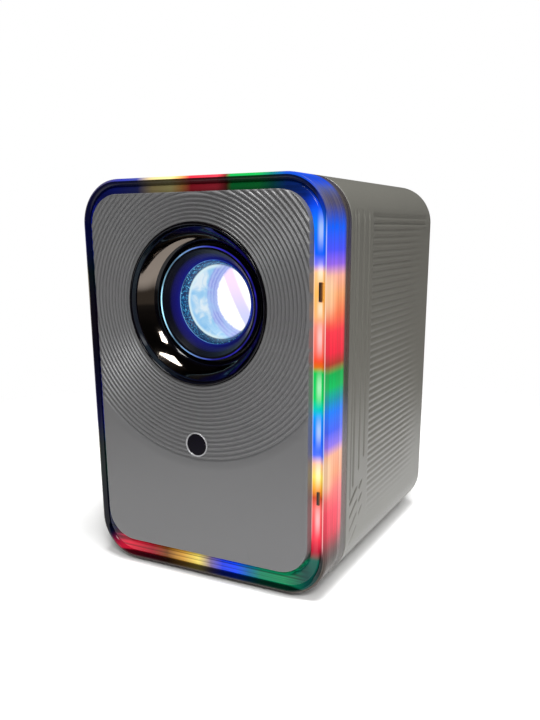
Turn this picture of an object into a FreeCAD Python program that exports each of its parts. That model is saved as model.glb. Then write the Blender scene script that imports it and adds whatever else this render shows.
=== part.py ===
import FreeCAD, Part
import math
import os
import re
import Sketcher

# A tower-shaped projector with a disc tray.  Millimetres.  X is to the viewer's
# right, Y runs from the front to the back, Z is up; the origin is the middle of
# the footprint at floor level.

doc = FreeCAD.newDocument("tower_projector")
V = FreeCAD.Vector
sheet = doc.addObject("Spreadsheet::Sheet", "Sizes")
SIZES = {
    # outer form
    "overall_wide": 156,
    "overall_tall": 230,
    "overall_deep": 188,
    "foot_rise": 2,
    "outline_corner": 25,
    "back_edge": 9,
    "wall": 3,
    "back_wall": 7,
    "slip": 0.3,
    "running": 0.06,
    # front end
    "panel_margin": 9.3,
    "panel_ends": 11.5,
    "panel_corner": 18.4,
    "panel_lift": 3.05,
    "panel_thick": 3,
    "panel_skirt": 2,
    "ring_setback": 4.3,
    "ring_back": 32.8,
    "ring_wall": 2.6,
    "ring_lip": 1.2,
    "guide_front": 9.8,
    "frame_thick": 3,
    "strip_thick": 1.6,
    "chip_tall": 2,
    "chip_wide": 3,
    "seam_thick": 1.2,
    "seam_inset": 1.2,
    "seam_band": 6,
    # front ribs
    "rib_first": 47.4,
    "rib_step": 2.08,
    "rib_growth": 0.0206,
    "rib_groove": 1.0,
    "rib_deep": 0.6,
    # lens
    "lens_raise": 46.8,
    "bezel_radius": 44.2,
    "bezel_mouth": 43,
    "bezel_throat": 33.4,
    "bezel_cone": 14,
    "bezel_deep": 18,
    "barrel_radius": 31.8,
    "barrel_front": 14,
    "barrel_back": 60,
    "barrel_mouth": 29.8,
    "barrel_throat": 24.6,
    "barrel_step": 22.7,
    "retainer_radius": 23.9,
    "retainer_hole": 20.9,
    "glass_radius": 21.5,
    "glass_edge": 27.1,
    "glass_seat": 33.8,
    "glass_back": 37,
    "glass_curve_back": 60,
    "rear_glass_radius": 19.4,
    "rear_glass_front": 46,
    "rear_glass_back": 55,
    "rear_glass_curve": 48,
    "sleeve_wall": 3.9,
    "sleeve_back": 64,
    "sleeve_flange": 46,
    "flange_thick": 3,
    "gear_front": 44,
    "gear_wide": 6,
    "gear_root": 38.6,
    "gear_tip": 40.9,
    "pinion_root": 5.8,
    "pinion_tip": 7.9,
    "tooth_wide": 1.2,
    "gear_pitch": 40,
    "pinion_pitch": 7.1,
    "shaft_radius": 1,
    "focus_motor_radius": 10,
    "focus_motor_long": 9,
    # infrared window
    "window_offset": 1.5,
    "window_drop": 32.2,
    "window_radius": 6.35,
    "window_rim": 0.8,
    "window_long": 5,
    # light engine
    "engine_wide": 100,
    "engine_tall": 68,
    "engine_back": 130,
    "engine_wall": 2,
    "engine_hole": 31,
    "post_radius": 4,
    "post_inset": 6,
    "panel_glass_at": 72,
    "fresnel_at": 79,
    "condenser_at": 100,
    "sheet_thick": 2,
    "condenser_radius": 28,
    "condenser_curve": 44,
    "condenser_bulge": 8,
    "lamp_board_thick": 2,
    "emitter_wide": 16,
    "sink_wide": 84,
    "sink_base": 4,
    "sink_long": 28,
    "fin_thick": 1.6,
    "fin_gap": 7,
    # fan
    "fan_wide": 80,
    "fan_thick": 20,
    "fan_bore": 38.5,
    "fan_hub": 14,
    "fan_tip": 37.3,
    "fan_spider": 3,
    "blade_thick": 1.4,
    "blade_chord": 15,
    # rear cover
    "cover_margin": 10,
    "cover_ends": 11,
    "cover_corner": 14,
    "cover_thick": 3,
    "cover_recess": 3.5,
    "cover_ledge": 6,
    "screw_radius": 1.5,
    "screw_head": 2.8,
    "screw_head_tall": 1.6,
    # side ribs and grooves
    "side_rib_pitch": 3.85,
    "side_rib_low": 30,
    "side_rib_front": 67.8,
    "side_rib_back": 176,
    "side_groove": 1.5,
    "side_deep": 1,
    "strip_groove_a": 43.3,
    "strip_groove_b": 52.1,
    "strip_groove_c": 60.3,
    "strip_groove_wide": 2,
    "strip_top": 212.3,
    "strip_low": 62,
    "strip_low_inner": 66,
    "dash_long": 13.5,
    "dash_tall": 1.6,
    # top controls
    "pad_wide": 112,
    "pad_deep": 26,
    "pad_thick": 1.2,
    "pad_at": 100,
    "button_pitch": 22,
    "button_radius": 5,
    "button_flange": 6.4,
    "button_flange_tall": 1.2,
    "button_travel": 0.7,
    "button_long": 7.2,
    "switch_tall": 1.6,
    "control_thick": 1.6,
    # base
    "foot_radius": 8,
    "foot_sink": 1,
    "foot_x": 42,
    "foot_front": 46,
    "foot_back": 70,
    "insert_radius": 6,
    "insert_tall": 9,
    "insert_hole": 2.55,
    # disc drive
    "drive_low": 29,
    "drive_tall": 14.5,
    "drive_front": 48,
    "drive_wide": 128,
    "drive_long": 128.5,
    "drive_sheet": 1,
    "drive_side": 1.5,
    "tray_gap": 0.5,
    "tray_tall": 10,
    "tray_long": 124,
    "disc_well": 60.4,
    "disc_well_deep": 2.5,
    "tray_floor": 1,
    "works_near": 20,
    "works_far": 25,
    "works_front": 22,
    "works_back": 61,
    "face_tall": 14,
    "face_wide": 126,
    "eject_wide": 9,
    "eject_tall": 4,
    "eject_long": 4,
    "eject_at": 46,
    "eject_travel": 1,
    "spindle_motor_radius": 12,
    "spindle_motor_tall": 4,
    "platter_radius": 11,
    "platter_tall": 1.2,
    "hub_radius": 7.4,
    "hub_tall": 2,
    "sled_start": 15,
    "sled_long": 18,
    "sled_half": 17.5,
    "sled_low": 1,
    "sled_tall": 4,
    "pickup_radius": 3.4,
    "pickup_tall": 1,
    "rod_radius": 1,
    "rod_half": 15,
    "screw_off": 21.6,
    "lead_radius": 1.2,
    "sled_motor_radius": 2.9,
    "sled_motor_long": 10,
    "leg_radius": 4,
    # boards
    "board_thick": 1.6,
    "main_low": 52,
    "main_wide": 120,
    "main_front": 58,
    "main_back": 176,
    "spacer_radius": 3,
    "power_low": 78,
    "power_wide": 112,
    "power_front": 62,
    "power_back": 150,
    # sockets
    "socket_back": 187,
    "hdmi_x": 38,
    "hdmi_wide": 15.2,
    "hdmi_tall": 6.2,
    "hdmi_hole_wide": 14,
    "hdmi_hole_tall": 4.6,
    "usb_x": 14,
    "usb_wide": 14.4,
    "usb_tall": 7,
    "usb_hole_wide": 12.6,
    "usb_hole_tall": 5.2,
    "usb_pitch": 9.5,
    "jack_x": -6,
    "jack_wide": 8,
    "jack_hole": 1.8,
    "inlet_x": -24,
    "inlet_wide": 12,
    "inlet_tall": 12,
    "inlet_hole": 3.2,
    "inlet_pin": 1,
    "socket_deep": 14,
    "switch_x": -46,
    "switch_wide": 14,
    "switch_high": 20,
    "rocker_wide": 11,
    "rocker_high": 16,
    "rocker_deep": 6,
    # speakers
    "speaker_y": 110,
    "speaker_z": 88,
    "speaker_radius": 24,
    "speaker_rim": 8,
    "magnet_radius": 14,
    "magnet_deep": 7,
    "cone_radius": 20,
    "cone_centre": 8,
}

known = list(SIZES)
for row, (name, value) in enumerate(SIZES.items(), 1):
    sheet.set("A%d" % row, str(value))
    sheet.setAlias("A%d" % row, name)
doc.recompute()

FRONT = "(-overall_deep / 2)"
BACK = "(overall_deep / 2)"
SIDE = "(overall_wide / 2)"
BOTTOM = "foot_rise"
TOP = "(foot_rise + overall_tall)"
MID = "(foot_rise + overall_tall / 2)"
LENS = "(foot_rise + overall_tall / 2 + lens_raise)"
# The front panel and the rear cover keep their margins inside the shell.
FOLLOWERS = {
    "panel_wide": "(overall_wide - 2 * panel_margin)",
    "panel_tall": "(overall_tall - 2 * panel_ends)",
    "cover_wide": "(overall_wide - 2 * cover_margin)",
    "cover_tall": "(overall_tall - 2 * cover_ends)",
}
word = re.compile(r"[a-z][a-z_]*[a-z]")


def bind(target, prop, text):
    """Tie one property to the sheet; words that are sizes get the sheet name."""
    text = word.sub(lambda m: FOLLOWERS.get(m.group(0), m.group(0)), str(text))
    full = word.sub(lambda m: "Sizes." + m.group(0) if m.group(0) in known else m.group(0), text)
    target.setExpression(prop, full)


def depth(text):
    """A place measured back from the front plane."""
    return "(%s + %s)" % (FRONT, text)


def spot(thing, x, y, z, turn=None):
    if turn is not None:
        thing.Placement = FreeCAD.Placement(V(0, 0, 0), turn)
    bind(thing, ".Placement.Base.x", x)
    bind(thing, ".Placement.Base.y", y)
    bind(thing, ".Placement.Base.z", z)
    return thing


def box(x0, x1, y0, y1, z0, z1):
    """A block from its six faces."""
    thing = doc.addObject("Part::Box", "block")
    bind(thing, "Length", "(%s) - (%s)" % (x1, x0))
    bind(thing, "Width", "(%s) - (%s)" % (y1, y0))
    bind(thing, "Height", "(%s) - (%s)" % (z1, z0))
    return spot(thing, x0, y0, z0)


def middle(x, y, z, wide, deep, tall):
    """A block from its centre in X and Y and its underside."""
    return box("%s - (%s)/2" % (x, wide), "%s + (%s)/2" % (x, wide),
               "%s - (%s)/2" % (y, deep), "%s + (%s)/2" % (y, deep),
               z, "%s + %s" % (z, tall))


TURNS = {
    "x": FreeCAD.Rotation(V(0, 1, 0), 90),
    "y": FreeCAD.Rotation(V(1, 0, 0), -90),
    "z": FreeCAD.Rotation(V(0, 0, 1), 0),
}


def along(axis, start, across, up):
    """Base point of a round part lying along one axis."""
    if axis == "x":
        return (start, across, up)
    if axis == "y":
        return (across, start, up)
    return (across, up, start)


def rod(axis, radius, start, end, across, up):
    """Across and up are the two other coordinates, in X, Y, Z order."""
    thing = doc.addObject("Part::Cylinder", "round")
    bind(thing, "Radius", radius)
    bind(thing, "Height", "(%s) - (%s)" % (end, start))
    return spot(thing, *along(axis, start, across, up), turn=TURNS[axis])


def taper(axis, first, last, start, end, across, up):
    thing = doc.addObject("Part::Cone", "taper")
    bind(thing, "Radius1", first)
    bind(thing, "Radius2", last)
    bind(thing, "Height", "(%s) - (%s)" % (end, start))
    return spot(thing, *along(axis, start, across, up), turn=TURNS[axis])


def ball(radius, x, y, z):
    thing = doc.addObject("Part::Sphere", "ball")
    bind(thing, "Radius", radius)
    return spot(thing, x, y, z)


def cut(base, *tools):
    thing = doc.addObject("Part::Cut", "less")
    thing.Base = base
    thing.Tool = tools[0] if len(tools) == 1 else join(*tools)
    return thing


def join(*pieces):
    thing = doc.addObject("Part::MultiFuse", "sum")
    thing.Shapes = list(pieces)
    return thing


def common(*pieces):
    thing = doc.addObject("Part::MultiCommon", "shared")
    thing.Shapes = list(pieces)
    return thing


def group(*pieces):
    thing = doc.addObject("Part::Compound", "set")
    thing.Links = list(pieces)
    return thing


def tube(axis, outer, inner, start, end, across, up):
    return cut(rod(axis, outer, start, end, across, up),
               rod(axis, inner, "%s - 1" % start, "%s + 1" % end, across, up))


def rounded(wide, tall, corner, start, long, lift="0", round_at=None, radius="1"):
    """A prism with rounded corners: sketched on the XZ plane, padded towards +Y.
    round_at is "front" or "back" and names the end whose outer edge is rounded."""
    body = doc.addObject("PartDesign::Body", "prism")
    sketch = body.newObject("Sketcher::SketchObject", "outline")
    plane = [f for f in body.Origin.OriginFeatures if f.Role == "XZ_Plane"][0]
    sketch.AttachmentSupport = [(plane, "")]
    sketch.MapMode = "FlatFace"
    half, high, bend = 50.0, 60.0, 10.0
    corners = [(half, -high, -90), (half, high, 0), (-half, high, 90), (-half, -high, 180)]
    for index, (x, z, first) in enumerate(corners):
        before = corners[index - 1]
        ux = math.copysign(1, x)
        uz = math.copysign(1, z)
        bx = math.copysign(1, before[0])
        bz = math.copysign(1, before[1])
        a = math.radians(first)
        centre = V(x - ux * bend, z - uz * bend, 0)
        start_arc = centre + V(bend * math.cos(a), bend * math.sin(a), 0)
        last = math.radians(before[2] + 90)
        centre_before = V(before[0] - bx * bend, before[1] - bz * bend, 0)
        end_arc = centre_before + V(bend * math.cos(last), bend * math.sin(last), 0)
        sketch.addGeometry(Part.LineSegment(end_arc, start_arc), False)
        circle = Part.Circle(centre, V(0, 0, 1), bend)
        sketch.addGeometry(Part.ArcOfCircle(circle, a, a + math.pi / 2), False)
    for index in range(8):
        sketch.addConstraint(Sketcher.Constraint("Tangent", index, 2, (index + 1) % 8, 1))
    for index, kind in enumerate(("Horizontal", "Vertical", "Horizontal", "Vertical")):
        sketch.addConstraint(Sketcher.Constraint(kind, 2 * index))
    for index in (3, 5, 7):
        sketch.addConstraint(Sketcher.Constraint("Equal", 1, index))
    sketch.addConstraint(Sketcher.Constraint("Symmetric", 0, 1, 4, 1, -1, 1))
    spans = (("corner", "Radius", (1, bend)), ("wide", "DistanceX", (6, 1, 2, 1, 2 * half)),
             ("tall", "DistanceY", (0, 1, 4, 1, 2 * high)))
    for name, kind, what in spans:
        number = sketch.addConstraint(Sketcher.Constraint(kind, *what))
        sketch.renameConstraint(number, name)
    doc.recompute()
    bind(sketch, "Constraints.wide", wide)
    bind(sketch, "Constraints.tall", tall)
    bind(sketch, "Constraints.corner", corner)
    pad = body.newObject("PartDesign::Pad", "pad")
    pad.Profile = sketch
    pad.Reversed = True
    bind(pad, "Length", long)
    body.Tip = pad
    doc.recompute()
    if round_at:
        wanted = 0.0 if round_at == "front" else pad.Length.Value
        names = []
        for index, edge in enumerate(pad.Shape.Edges):
            bounds = edge.BoundBox
            if bounds.YLength < 1e-6 and abs(bounds.YMin - wanted) < 1e-6:
                names.append("Edge%d" % (index + 1))
        fillet = body.newObject("PartDesign::Fillet", "soft_edge")
        fillet.Base = (pad, names)
        bind(fillet, "Radius", radius)
        body.Tip = fillet
    return spot(body, "0", start, "%s + %s" % (MID, lift))


def spoke(x, y, z, inner, outer, thick, chord, angle, pitch=0):
    """A bar standing out from a point in the XZ plane; thick is along Y before the pitch."""
    turn = FreeCAD.Rotation(V(0, 1, 0), -angle) * FreeCAD.Rotation(V(1, 0, 0), pitch)
    out = turn.multVec(V(1, 0, 0))
    half_thick = turn.multVec(V(0, -0.5, 0))
    half_chord = turn.multVec(V(0, 0, -0.5))
    thing = doc.addObject("Part::Box", "spoke")
    bind(thing, "Length", "(%s) - (%s)" % (outer, inner))
    bind(thing, "Width", thick)
    bind(thing, "Height", chord)
    places = []
    for axis, base in (("x", x), ("y", y), ("z", z)):
        places.append("%s + (%s)*%.7f + (%s)*%.7f + (%s)*%.7f" % (
            base, inner, getattr(out, axis), thick, getattr(half_thick, axis),
            chord, getattr(half_chord, axis)))
    return spot(thing, *places, turn=turn)


nodes = []


def node(label, thing):
    thing.Label = label
    nodes.append(thing)
    return thing


# ---- main shell -----------------------------------------------------------
SHELL_FRONT = depth("ring_back + seam_thick")
shell_block = rounded("overall_wide", "overall_tall", "outline_corner", SHELL_FRONT,
                      "overall_deep - ring_back - seam_thick", round_at="back", radius="back_edge")
shell_hollow = rounded("overall_wide - 2*wall", "overall_tall - 2*wall", "outline_corner - wall",
                       "%s - 1" % SHELL_FRONT,
                       "overall_deep - ring_back - seam_thick - back_wall + 1")
cover_seat = rounded("cover_wide", "cover_tall", "cover_corner",
                     "%s - cover_recess" % BACK, "cover_recess + 1")
cover_way = rounded("cover_wide - 2*cover_ledge", "cover_tall - 2*cover_ledge",
                    "cover_corner - cover_ledge", "%s - back_wall - 1" % BACK, "back_wall + 2")

DISC_X = "(-%s + wall + tray_long/2)" % SIDE
DISC_Y = depth("drive_front + drive_wide/2")
DRIVE_LEFT = "(-%s + wall)" % SIDE
FACE_LOW = "(drive_low + 1)"
tray_way = box("-%s - 1" % SIDE, "%s + 1" % DRIVE_LEFT,
               "%s - face_wide/2 - slip" % DISC_Y, "%s + face_wide/2 + slip" % DISC_Y,
               "%s - slip" % FACE_LOW, "%s + face_tall + slip" % FACE_LOW)

RIB_COUNT = 48
grooves = []
for index in range(RIB_COUNT):
    low = "side_rib_low + %d*side_rib_pitch" % index
    for side in (-1, 1):
        inner = "%d*(%s - side_deep)" % (side, SIDE)
        outer = "%d*(%s + 1)" % (side, SIDE)
        ends = (outer, inner) if side < 0 else (inner, outer)
        grooves.append(box(ends[0], ends[1], depth("side_rib_front"), depth("side_rib_back"),
                           low, "%s + side_groove" % low))
for side in (-1, 1):
    inner = "%d*(%s - side_deep)" % (side, SIDE)
    outer = "%d*(%s + 1)" % (side, SIDE)
    ends = (outer, inner) if side < 0 else (inner, outer)
    for place, low in (("strip_groove_a", "strip_low"), ("strip_groove_b", "strip_low_inner"),
                       ("strip_groove_c", "strip_low_inner")):
        grooves.append(box(ends[0], ends[1], depth(place), depth("%s + strip_groove_wide" % place),
                           low, "strip_top"))
    for row in range(3):
        dash = doc.addObject("Part::Box", "dash")
        bind(dash, "Length", "side_deep + 1")
        bind(dash, "Width", "dash_long")
        bind(dash, "Height", "dash_tall")
        grooves.append(spot(dash, ends[0], depth("39.5"), "45.5 - 8*%d" % row,
                            turn=FreeCAD.Rotation(V(1, 0, 0), 34)))

PAD_Y = depth("pad_at")
pad_seat = middle("0", PAD_Y, "%s - pad_thick" % TOP, "pad_wide", "pad_deep", "pad_thick + 1")
BUTTONS = ("button_power", "button_menu", "button_select", "button_volume_down", "button_volume_up")
button_x = ["%d*button_pitch" % (index - 2) for index in range(len(BUTTONS))]
button_ways = [rod("z", "button_radius + slip", "%s - wall - 1" % TOP, "%s + 1" % TOP, x, PAD_Y)
               for x in button_x]

foot_places = [("%d*foot_x" % sx, y) for sx in (-1, 1) for y in ("-foot_front", "foot_back")]
foot_seats = [rod("z", "foot_radius + slip", "%s - 1" % BOTTOM, "%s + foot_sink" % BOTTOM,
                  x, y) for x, y in foot_places]
insert_way = rod("z", "insert_radius", "%s - 1" % BOTTOM, "%s + wall + 1" % BOTTOM, "0", "0")

vents = []
for index in range(9):
    x = "%d*8" % (index - 4)
    for y in (-38, 38):
        vents.append(middle(x, "%d" % y, "%s - 1" % BOTTOM, "3", "26", "wall + 2"))

sound_ways = []
for index in range(9):
    low = "side_rib_low + %d*side_rib_pitch" % (index + 11)
    for side in (-1, 1):
        inner = "%d*(%s - wall - 1)" % (side, SIDE)
        outer = "%d*(%s)" % (side, SIDE)
        ends = (outer, inner) if side < 0 else (inner, outer)
        sound_ways.append(box(ends[0], ends[1], depth("speaker_y - 16"), depth("speaker_y + 16"),
                              "%s + 0.2" % low, "%s + side_groove - 0.2" % low))

shell_screws = [(sx, up) for sx in (-1, 1) for up in (-1, 0, 1)]
SCREW_X = "(cover_wide/2 - 2*slip - screw_head)"
SCREW_UP = "(cover_tall/2 - 22)"
pilots = [rod("y", "screw_radius + slip", "%s - back_wall - 1" % BACK, "%s + 1" % BACK,
              "%d*%s" % (sx, SCREW_X), "%s + %d*%s" % (MID, up, SCREW_UP)) for sx, up in shell_screws]

node("main_shell", cut(shell_block, shell_hollow, cover_seat, cover_way, tray_way, pad_seat,
                       insert_way, *(grooves + button_ways + foot_seats + vents + sound_ways
                                     + pilots)))

# ---- front frame, seam, light ring, light guide ---------------------------
FRAME_FRONT = depth("ring_back - frame_thick")
frame_plate = rounded("overall_wide - 2*ring_wall - 2*slip", "overall_tall - 2*ring_wall - 2*slip",
                      "outline_corner - ring_wall - slip", FRAME_FRONT, "frame_thick")
node("front_frame", cut(frame_plate,
                        rod("y", "barrel_radius + slip + sleeve_wall + slip",
                            "%s - 1" % FRAME_FRONT, depth("ring_back + 1"), "0", LENS),
                        middle("-46", depth("ring_back"), "%s - 80" % MID, "14", "20", "8"),
                        middle("46", depth("ring_back"), "%s - 80" % MID, "14", "20", "8")))

seam_outer = rounded("overall_wide - 2*seam_inset", "overall_tall - 2*seam_inset",
                     "outline_corner - seam_inset", depth("ring_back"), "seam_thick")
seam_inner = rounded("overall_wide - 2*seam_inset - 2*seam_band",
                     "overall_tall - 2*seam_inset - 2*seam_band",
                     "outline_corner - seam_inset - seam_band",
                     "%s - 1" % depth("ring_back"), "seam_thick + 2")
node("seam_ring", cut(seam_outer, seam_inner))

ring_outer = rounded("overall_wide", "overall_tall", "outline_corner", depth("ring_setback"),
                     "ring_back - ring_setback", round_at="front", radius="ring_lip")
ring_inner = rounded("overall_wide - 2*ring_wall", "overall_tall - 2*ring_wall",
                     "outline_corner - ring_wall", "%s - 1" % depth("ring_setback"),
                     "ring_back - ring_setback + 2")
node("light_ring", cut(ring_outer, ring_inner))

GUIDE_BACK = depth("ring_back - frame_thick - strip_thick - chip_tall")


def band(start, end, inset):
    """The space between the front panel skirt and the light ring."""
    outer = rounded("overall_wide - 2*ring_wall - 2*slip", "overall_tall - 2*ring_wall - 2*slip",
                    "outline_corner - ring_wall - slip", start, "%s - %s" % (end, start))
    inner = rounded("panel_wide + 2*slip + %s" % inset, "panel_tall + 2*slip + %s" % inset,
                    "panel_corner + slip + %s/2" % inset, "%s - 1" % start,
                    "%s - %s + 2" % (end, start), lift="panel_lift")
    return cut(outer, inner)


node("light_guide", band(depth("guide_front"), GUIDE_BACK, "0"))
chips = []
CHIP_X = "(overall_wide/4 + panel_wide/4 - ring_wall/2)"
for index in range(8):
    for side in (-1, 1):
        chips.append(middle("%d*%s" % (side, CHIP_X), "%s + chip_tall/2" % GUIDE_BACK,
                            "%s + %.1f*24 - 1.5" % (MID, index - 3.5), "chip_wide", "chip_tall", "3"))
for index in range(5):
    for edge in ("(%s + overall_tall/4 + panel_tall/4 + panel_lift/2 - ring_wall/2 - 1.5)" % MID,
                 "(%s - overall_tall/4 - panel_tall/4 + panel_lift/2 + ring_wall/2 - 1.5)" % MID):
        chips.append(middle("%d*24" % (index - 2), "%s + chip_tall/2" % GUIDE_BACK, edge,
                            "chip_wide", "chip_tall", "3"))
node("led_strip", join(band(depth("ring_back - frame_thick - strip_thick"), FRAME_FRONT, "1"),
                       *chips))

# ---- front panel ----------------------------------------------------------
WINDOW_X = "(-window_offset)"
WINDOW_Z = "(%s - window_drop)" % MID
panel_block = rounded("panel_wide", "panel_tall", "panel_corner", FRONT,
                      "ring_back - frame_thick", lift="panel_lift", round_at="front", radius="0.8")
panel_hollow = rounded("panel_wide - 2*panel_skirt", "panel_tall - 2*panel_skirt",
                       "panel_corner - panel_skirt", depth("panel_thick"),
                       "ring_back - frame_thick", lift="panel_lift")
RIBS = 18
front_grooves = []
for index in range(RIBS - 1):
    crest = "(rib_first + %d*rib_step + %d*rib_growth)" % (index, index * index)
    following = "(rib_first + %d*rib_step + %d*rib_growth)" % (index + 1, (index + 1) ** 2)
    centre = "(%s + %s)/2" % (crest, following)
    front_grooves.append(tube("y", "%s + rib_groove/2" % centre, "%s - rib_groove/2" % centre,
                              "%s - 1" % FRONT, depth("rib_deep"), "0", LENS))
node("front_panel", cut(panel_block, panel_hollow,
                        rod("y", "bezel_radius + slip", "%s - 1" % FRONT, depth("panel_thick + 1"),
                            "0", LENS),
                        rod("y", "window_radius + window_rim + slip", "%s - 1" % FRONT,
                            depth("panel_thick + 1"), WINDOW_X, WINDOW_Z),
                        *front_grooves))

# ---- infrared window ------------------------------------------------------
node("ir_trim", join(tube("y", "window_radius + window_rim", "window_radius", FRONT,
                          depth("panel_thick"), WINDOW_X, WINDOW_Z),
                     tube("y", "window_radius + 3", "window_radius", depth("panel_thick"),
                          depth("panel_thick + 1.2"), WINDOW_X, WINDOW_Z)))
node("ir_window", rod("y", "window_radius - 0.05", depth("0.5"), depth("window_long"),
                      WINDOW_X, WINDOW_Z))
node("ir_receiver", join(middle(WINDOW_X, depth("window_long + 2"), "%s - 3" % WINDOW_Z, "6", "4", "7"),
                         middle(WINDOW_X, depth("window_long + 4.8"), "%s - 9" % WINDOW_Z,
                                "24", "1.6", "20"),
                         box("%s - 9" % WINDOW_X, "%s - 5" % WINDOW_X, depth("window_long + 5.6"),
                             FRAME_FRONT, "%s - 6" % WINDOW_Z, "%s - 2" % WINDOW_Z),
                         box("%s + 5" % WINDOW_X, "%s + 9" % WINDOW_X, depth("window_long + 5.6"),
                             FRAME_FRONT, "%s - 6" % WINDOW_Z, "%s - 2" % WINDOW_Z)))

# ---- lens group -----------------------------------------------------------
node("lens_bezel", cut(rod("y", "bezel_radius", FRONT, depth("bezel_deep"), "0", LENS),
                       taper("y", "bezel_mouth", "bezel_throat", FRONT, depth("bezel_cone"), "0", LENS),
                       rod("y", "bezel_throat", depth("bezel_cone - 0.01"), depth("bezel_deep + 1"),
                           "0", LENS)))
node("lens_barrel", cut(rod("y", "barrel_radius", depth("barrel_front"), depth("barrel_back"),
                            "0", LENS),
                        taper("y", "barrel_mouth", "barrel_throat", depth("barrel_front"),
                              depth("barrel_step"), "0", LENS),
                        rod("y", "retainer_radius + 0.05", depth("barrel_step - 0.1"),
                            depth("glass_edge"), "0", LENS),
                        rod("y", "glass_radius + 0.05", depth("glass_edge - 0.1"),
                            depth("glass_seat"), "0", LENS),
                        rod("y", "rear_glass_radius + 0.05", depth("glass_seat - 0.1"),
                            depth("barrel_back + 1"), "0", LENS)))
node("lens_retainer", cut(rod("y", "retainer_radius", depth("barrel_step"), depth("glass_edge"),
                              "0", LENS),
                          taper("y", "retainer_radius - 0.7", "retainer_hole", depth("barrel_step"),
                                depth("glass_edge"), "0", LENS),
                          rod("y", "retainer_hole", depth("barrel_step - 1"),
                              depth("glass_edge + 1"), "0", LENS)))
node("front_lens", common(rod("y", "glass_radius", depth("glass_edge"), depth("glass_back + 1"),
                              "0", LENS),
                          ball("glass_curve_back", "0", depth("glass_back - glass_curve_back"),
                               LENS)))
node("rear_lens", common(rod("y", "rear_glass_radius", depth("rear_glass_front - 1"),
                             depth("rear_glass_back"), "0", LENS),
                         ball("rear_glass_curve", "0", depth("rear_glass_front + rear_glass_curve"),
                              LENS)))
SLEEVE = "(barrel_radius + slip + sleeve_wall)"
node("lens_housing", join(tube("y", SLEEVE, "barrel_radius + slip", depth("bezel_deep"),
                               depth("sleeve_back"), "0", LENS),
                          tube("y", "sleeve_flange", "barrel_radius + slip",
                               depth("ring_back - frame_thick - flange_thick"), FRAME_FRONT,
                               "0", LENS)))

# ---- focus drive ----------------------------------------------------------
GEAR_Y = depth("gear_front + gear_wide/2")
PINION_Z = "(%s - gear_pitch - pinion_pitch)" % LENS
GEAR_TEETH = 80
PINION_TEETH = 14
gear_ring = tube("y", "gear_root + 0.05", "%s + running" % SLEEVE, depth("gear_front"),
                 depth("gear_front + gear_wide"), "0", LENS)
gear_teeth = [spoke("0", GEAR_Y, LENS, "gear_root - 0.5", "gear_tip", "gear_wide", "tooth_wide",
                    index * 360.0 / GEAR_TEETH) for index in range(GEAR_TEETH)]
node("focus_gear", join(gear_ring, *gear_teeth))
pinion_disc = rod("y", "pinion_root", depth("gear_front"), depth("gear_front + gear_wide"),
                  "0", PINION_Z)
pinion_teeth = [spoke("0", GEAR_Y, PINION_Z, "pinion_root - 0.5", "pinion_tip", "gear_wide",
                      "tooth_wide", 90 + (index + 0.5) * 360.0 / PINION_TEETH)
                for index in range(PINION_TEETH)]
node("focus_pinion", cut(join(pinion_disc, *pinion_teeth),
                         rod("y", "shaft_radius + running", depth("gear_front - 1"),
                             depth("gear_front + gear_wide + 1"), "0", PINION_Z)))
node("focus_motor", join(rod("y", "focus_motor_radius", depth("ring_back"),
                             depth("ring_back + focus_motor_long"), "0", PINION_Z),
                         rod("y", "3", depth("ring_back + focus_motor_long - 1"),
                             depth("gear_front - slip"), "0", PINION_Z),
                         rod("y", "shaft_radius", depth("ring_back + 1"),
                             depth("gear_front + gear_wide + 1"), "0", PINION_Z),
                         rod("y", "2", depth("gear_front + gear_wide + slip"),
                             depth("gear_front + gear_wide + 1.5"), "0", PINION_Z)))

# ---- light engine ---------------------------------------------------------
ENGINE_FRONT = depth("sleeve_back")
ENGINE_BACK = depth("engine_back")
engine_block = box("-engine_wide/2", "engine_wide/2", ENGINE_FRONT, ENGINE_BACK,
                   "%s - engine_tall/2" % LENS, "%s + engine_tall/2" % LENS)
engine_cavity = box("-engine_wide/2 + engine_wall", "engine_wide/2 - engine_wall",
                    "%s + engine_wall" % ENGINE_FRONT, "%s + 1" % ENGINE_BACK,
                    "%s - engine_tall/2 + engine_wall" % LENS,
                    "%s + engine_tall/2 - engine_wall" % LENS)
engine_posts = []
for sx in (-1, 1):
    for sz in (-1, 1):
        engine_posts.append(rod("y", "post_radius", depth("ring_back"), ENGINE_FRONT,
                                "%d*(engine_wide/2 - post_inset)" % sx,
                                "%s + %d*(engine_tall/2 - post_radius)" % (LENS, sz)))
node("engine_housing", cut(join(engine_block, *engine_posts), engine_cavity,
                           rod("y", "engine_hole", "%s - 1" % ENGINE_FRONT,
                               "%s + engine_wall + 1" % ENGINE_FRONT, "0", LENS)))


def engine_sheet(start, thick):
    """A flat sheet that fills the section of the light engine."""
    return box("-engine_wide/2 + engine_wall", "engine_wide/2 - engine_wall",
               depth(start), depth("%s + %s" % (start, thick)),
               "%s - engine_tall/2 + engine_wall" % LENS, "%s + engine_tall/2 - engine_wall" % LENS)


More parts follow.
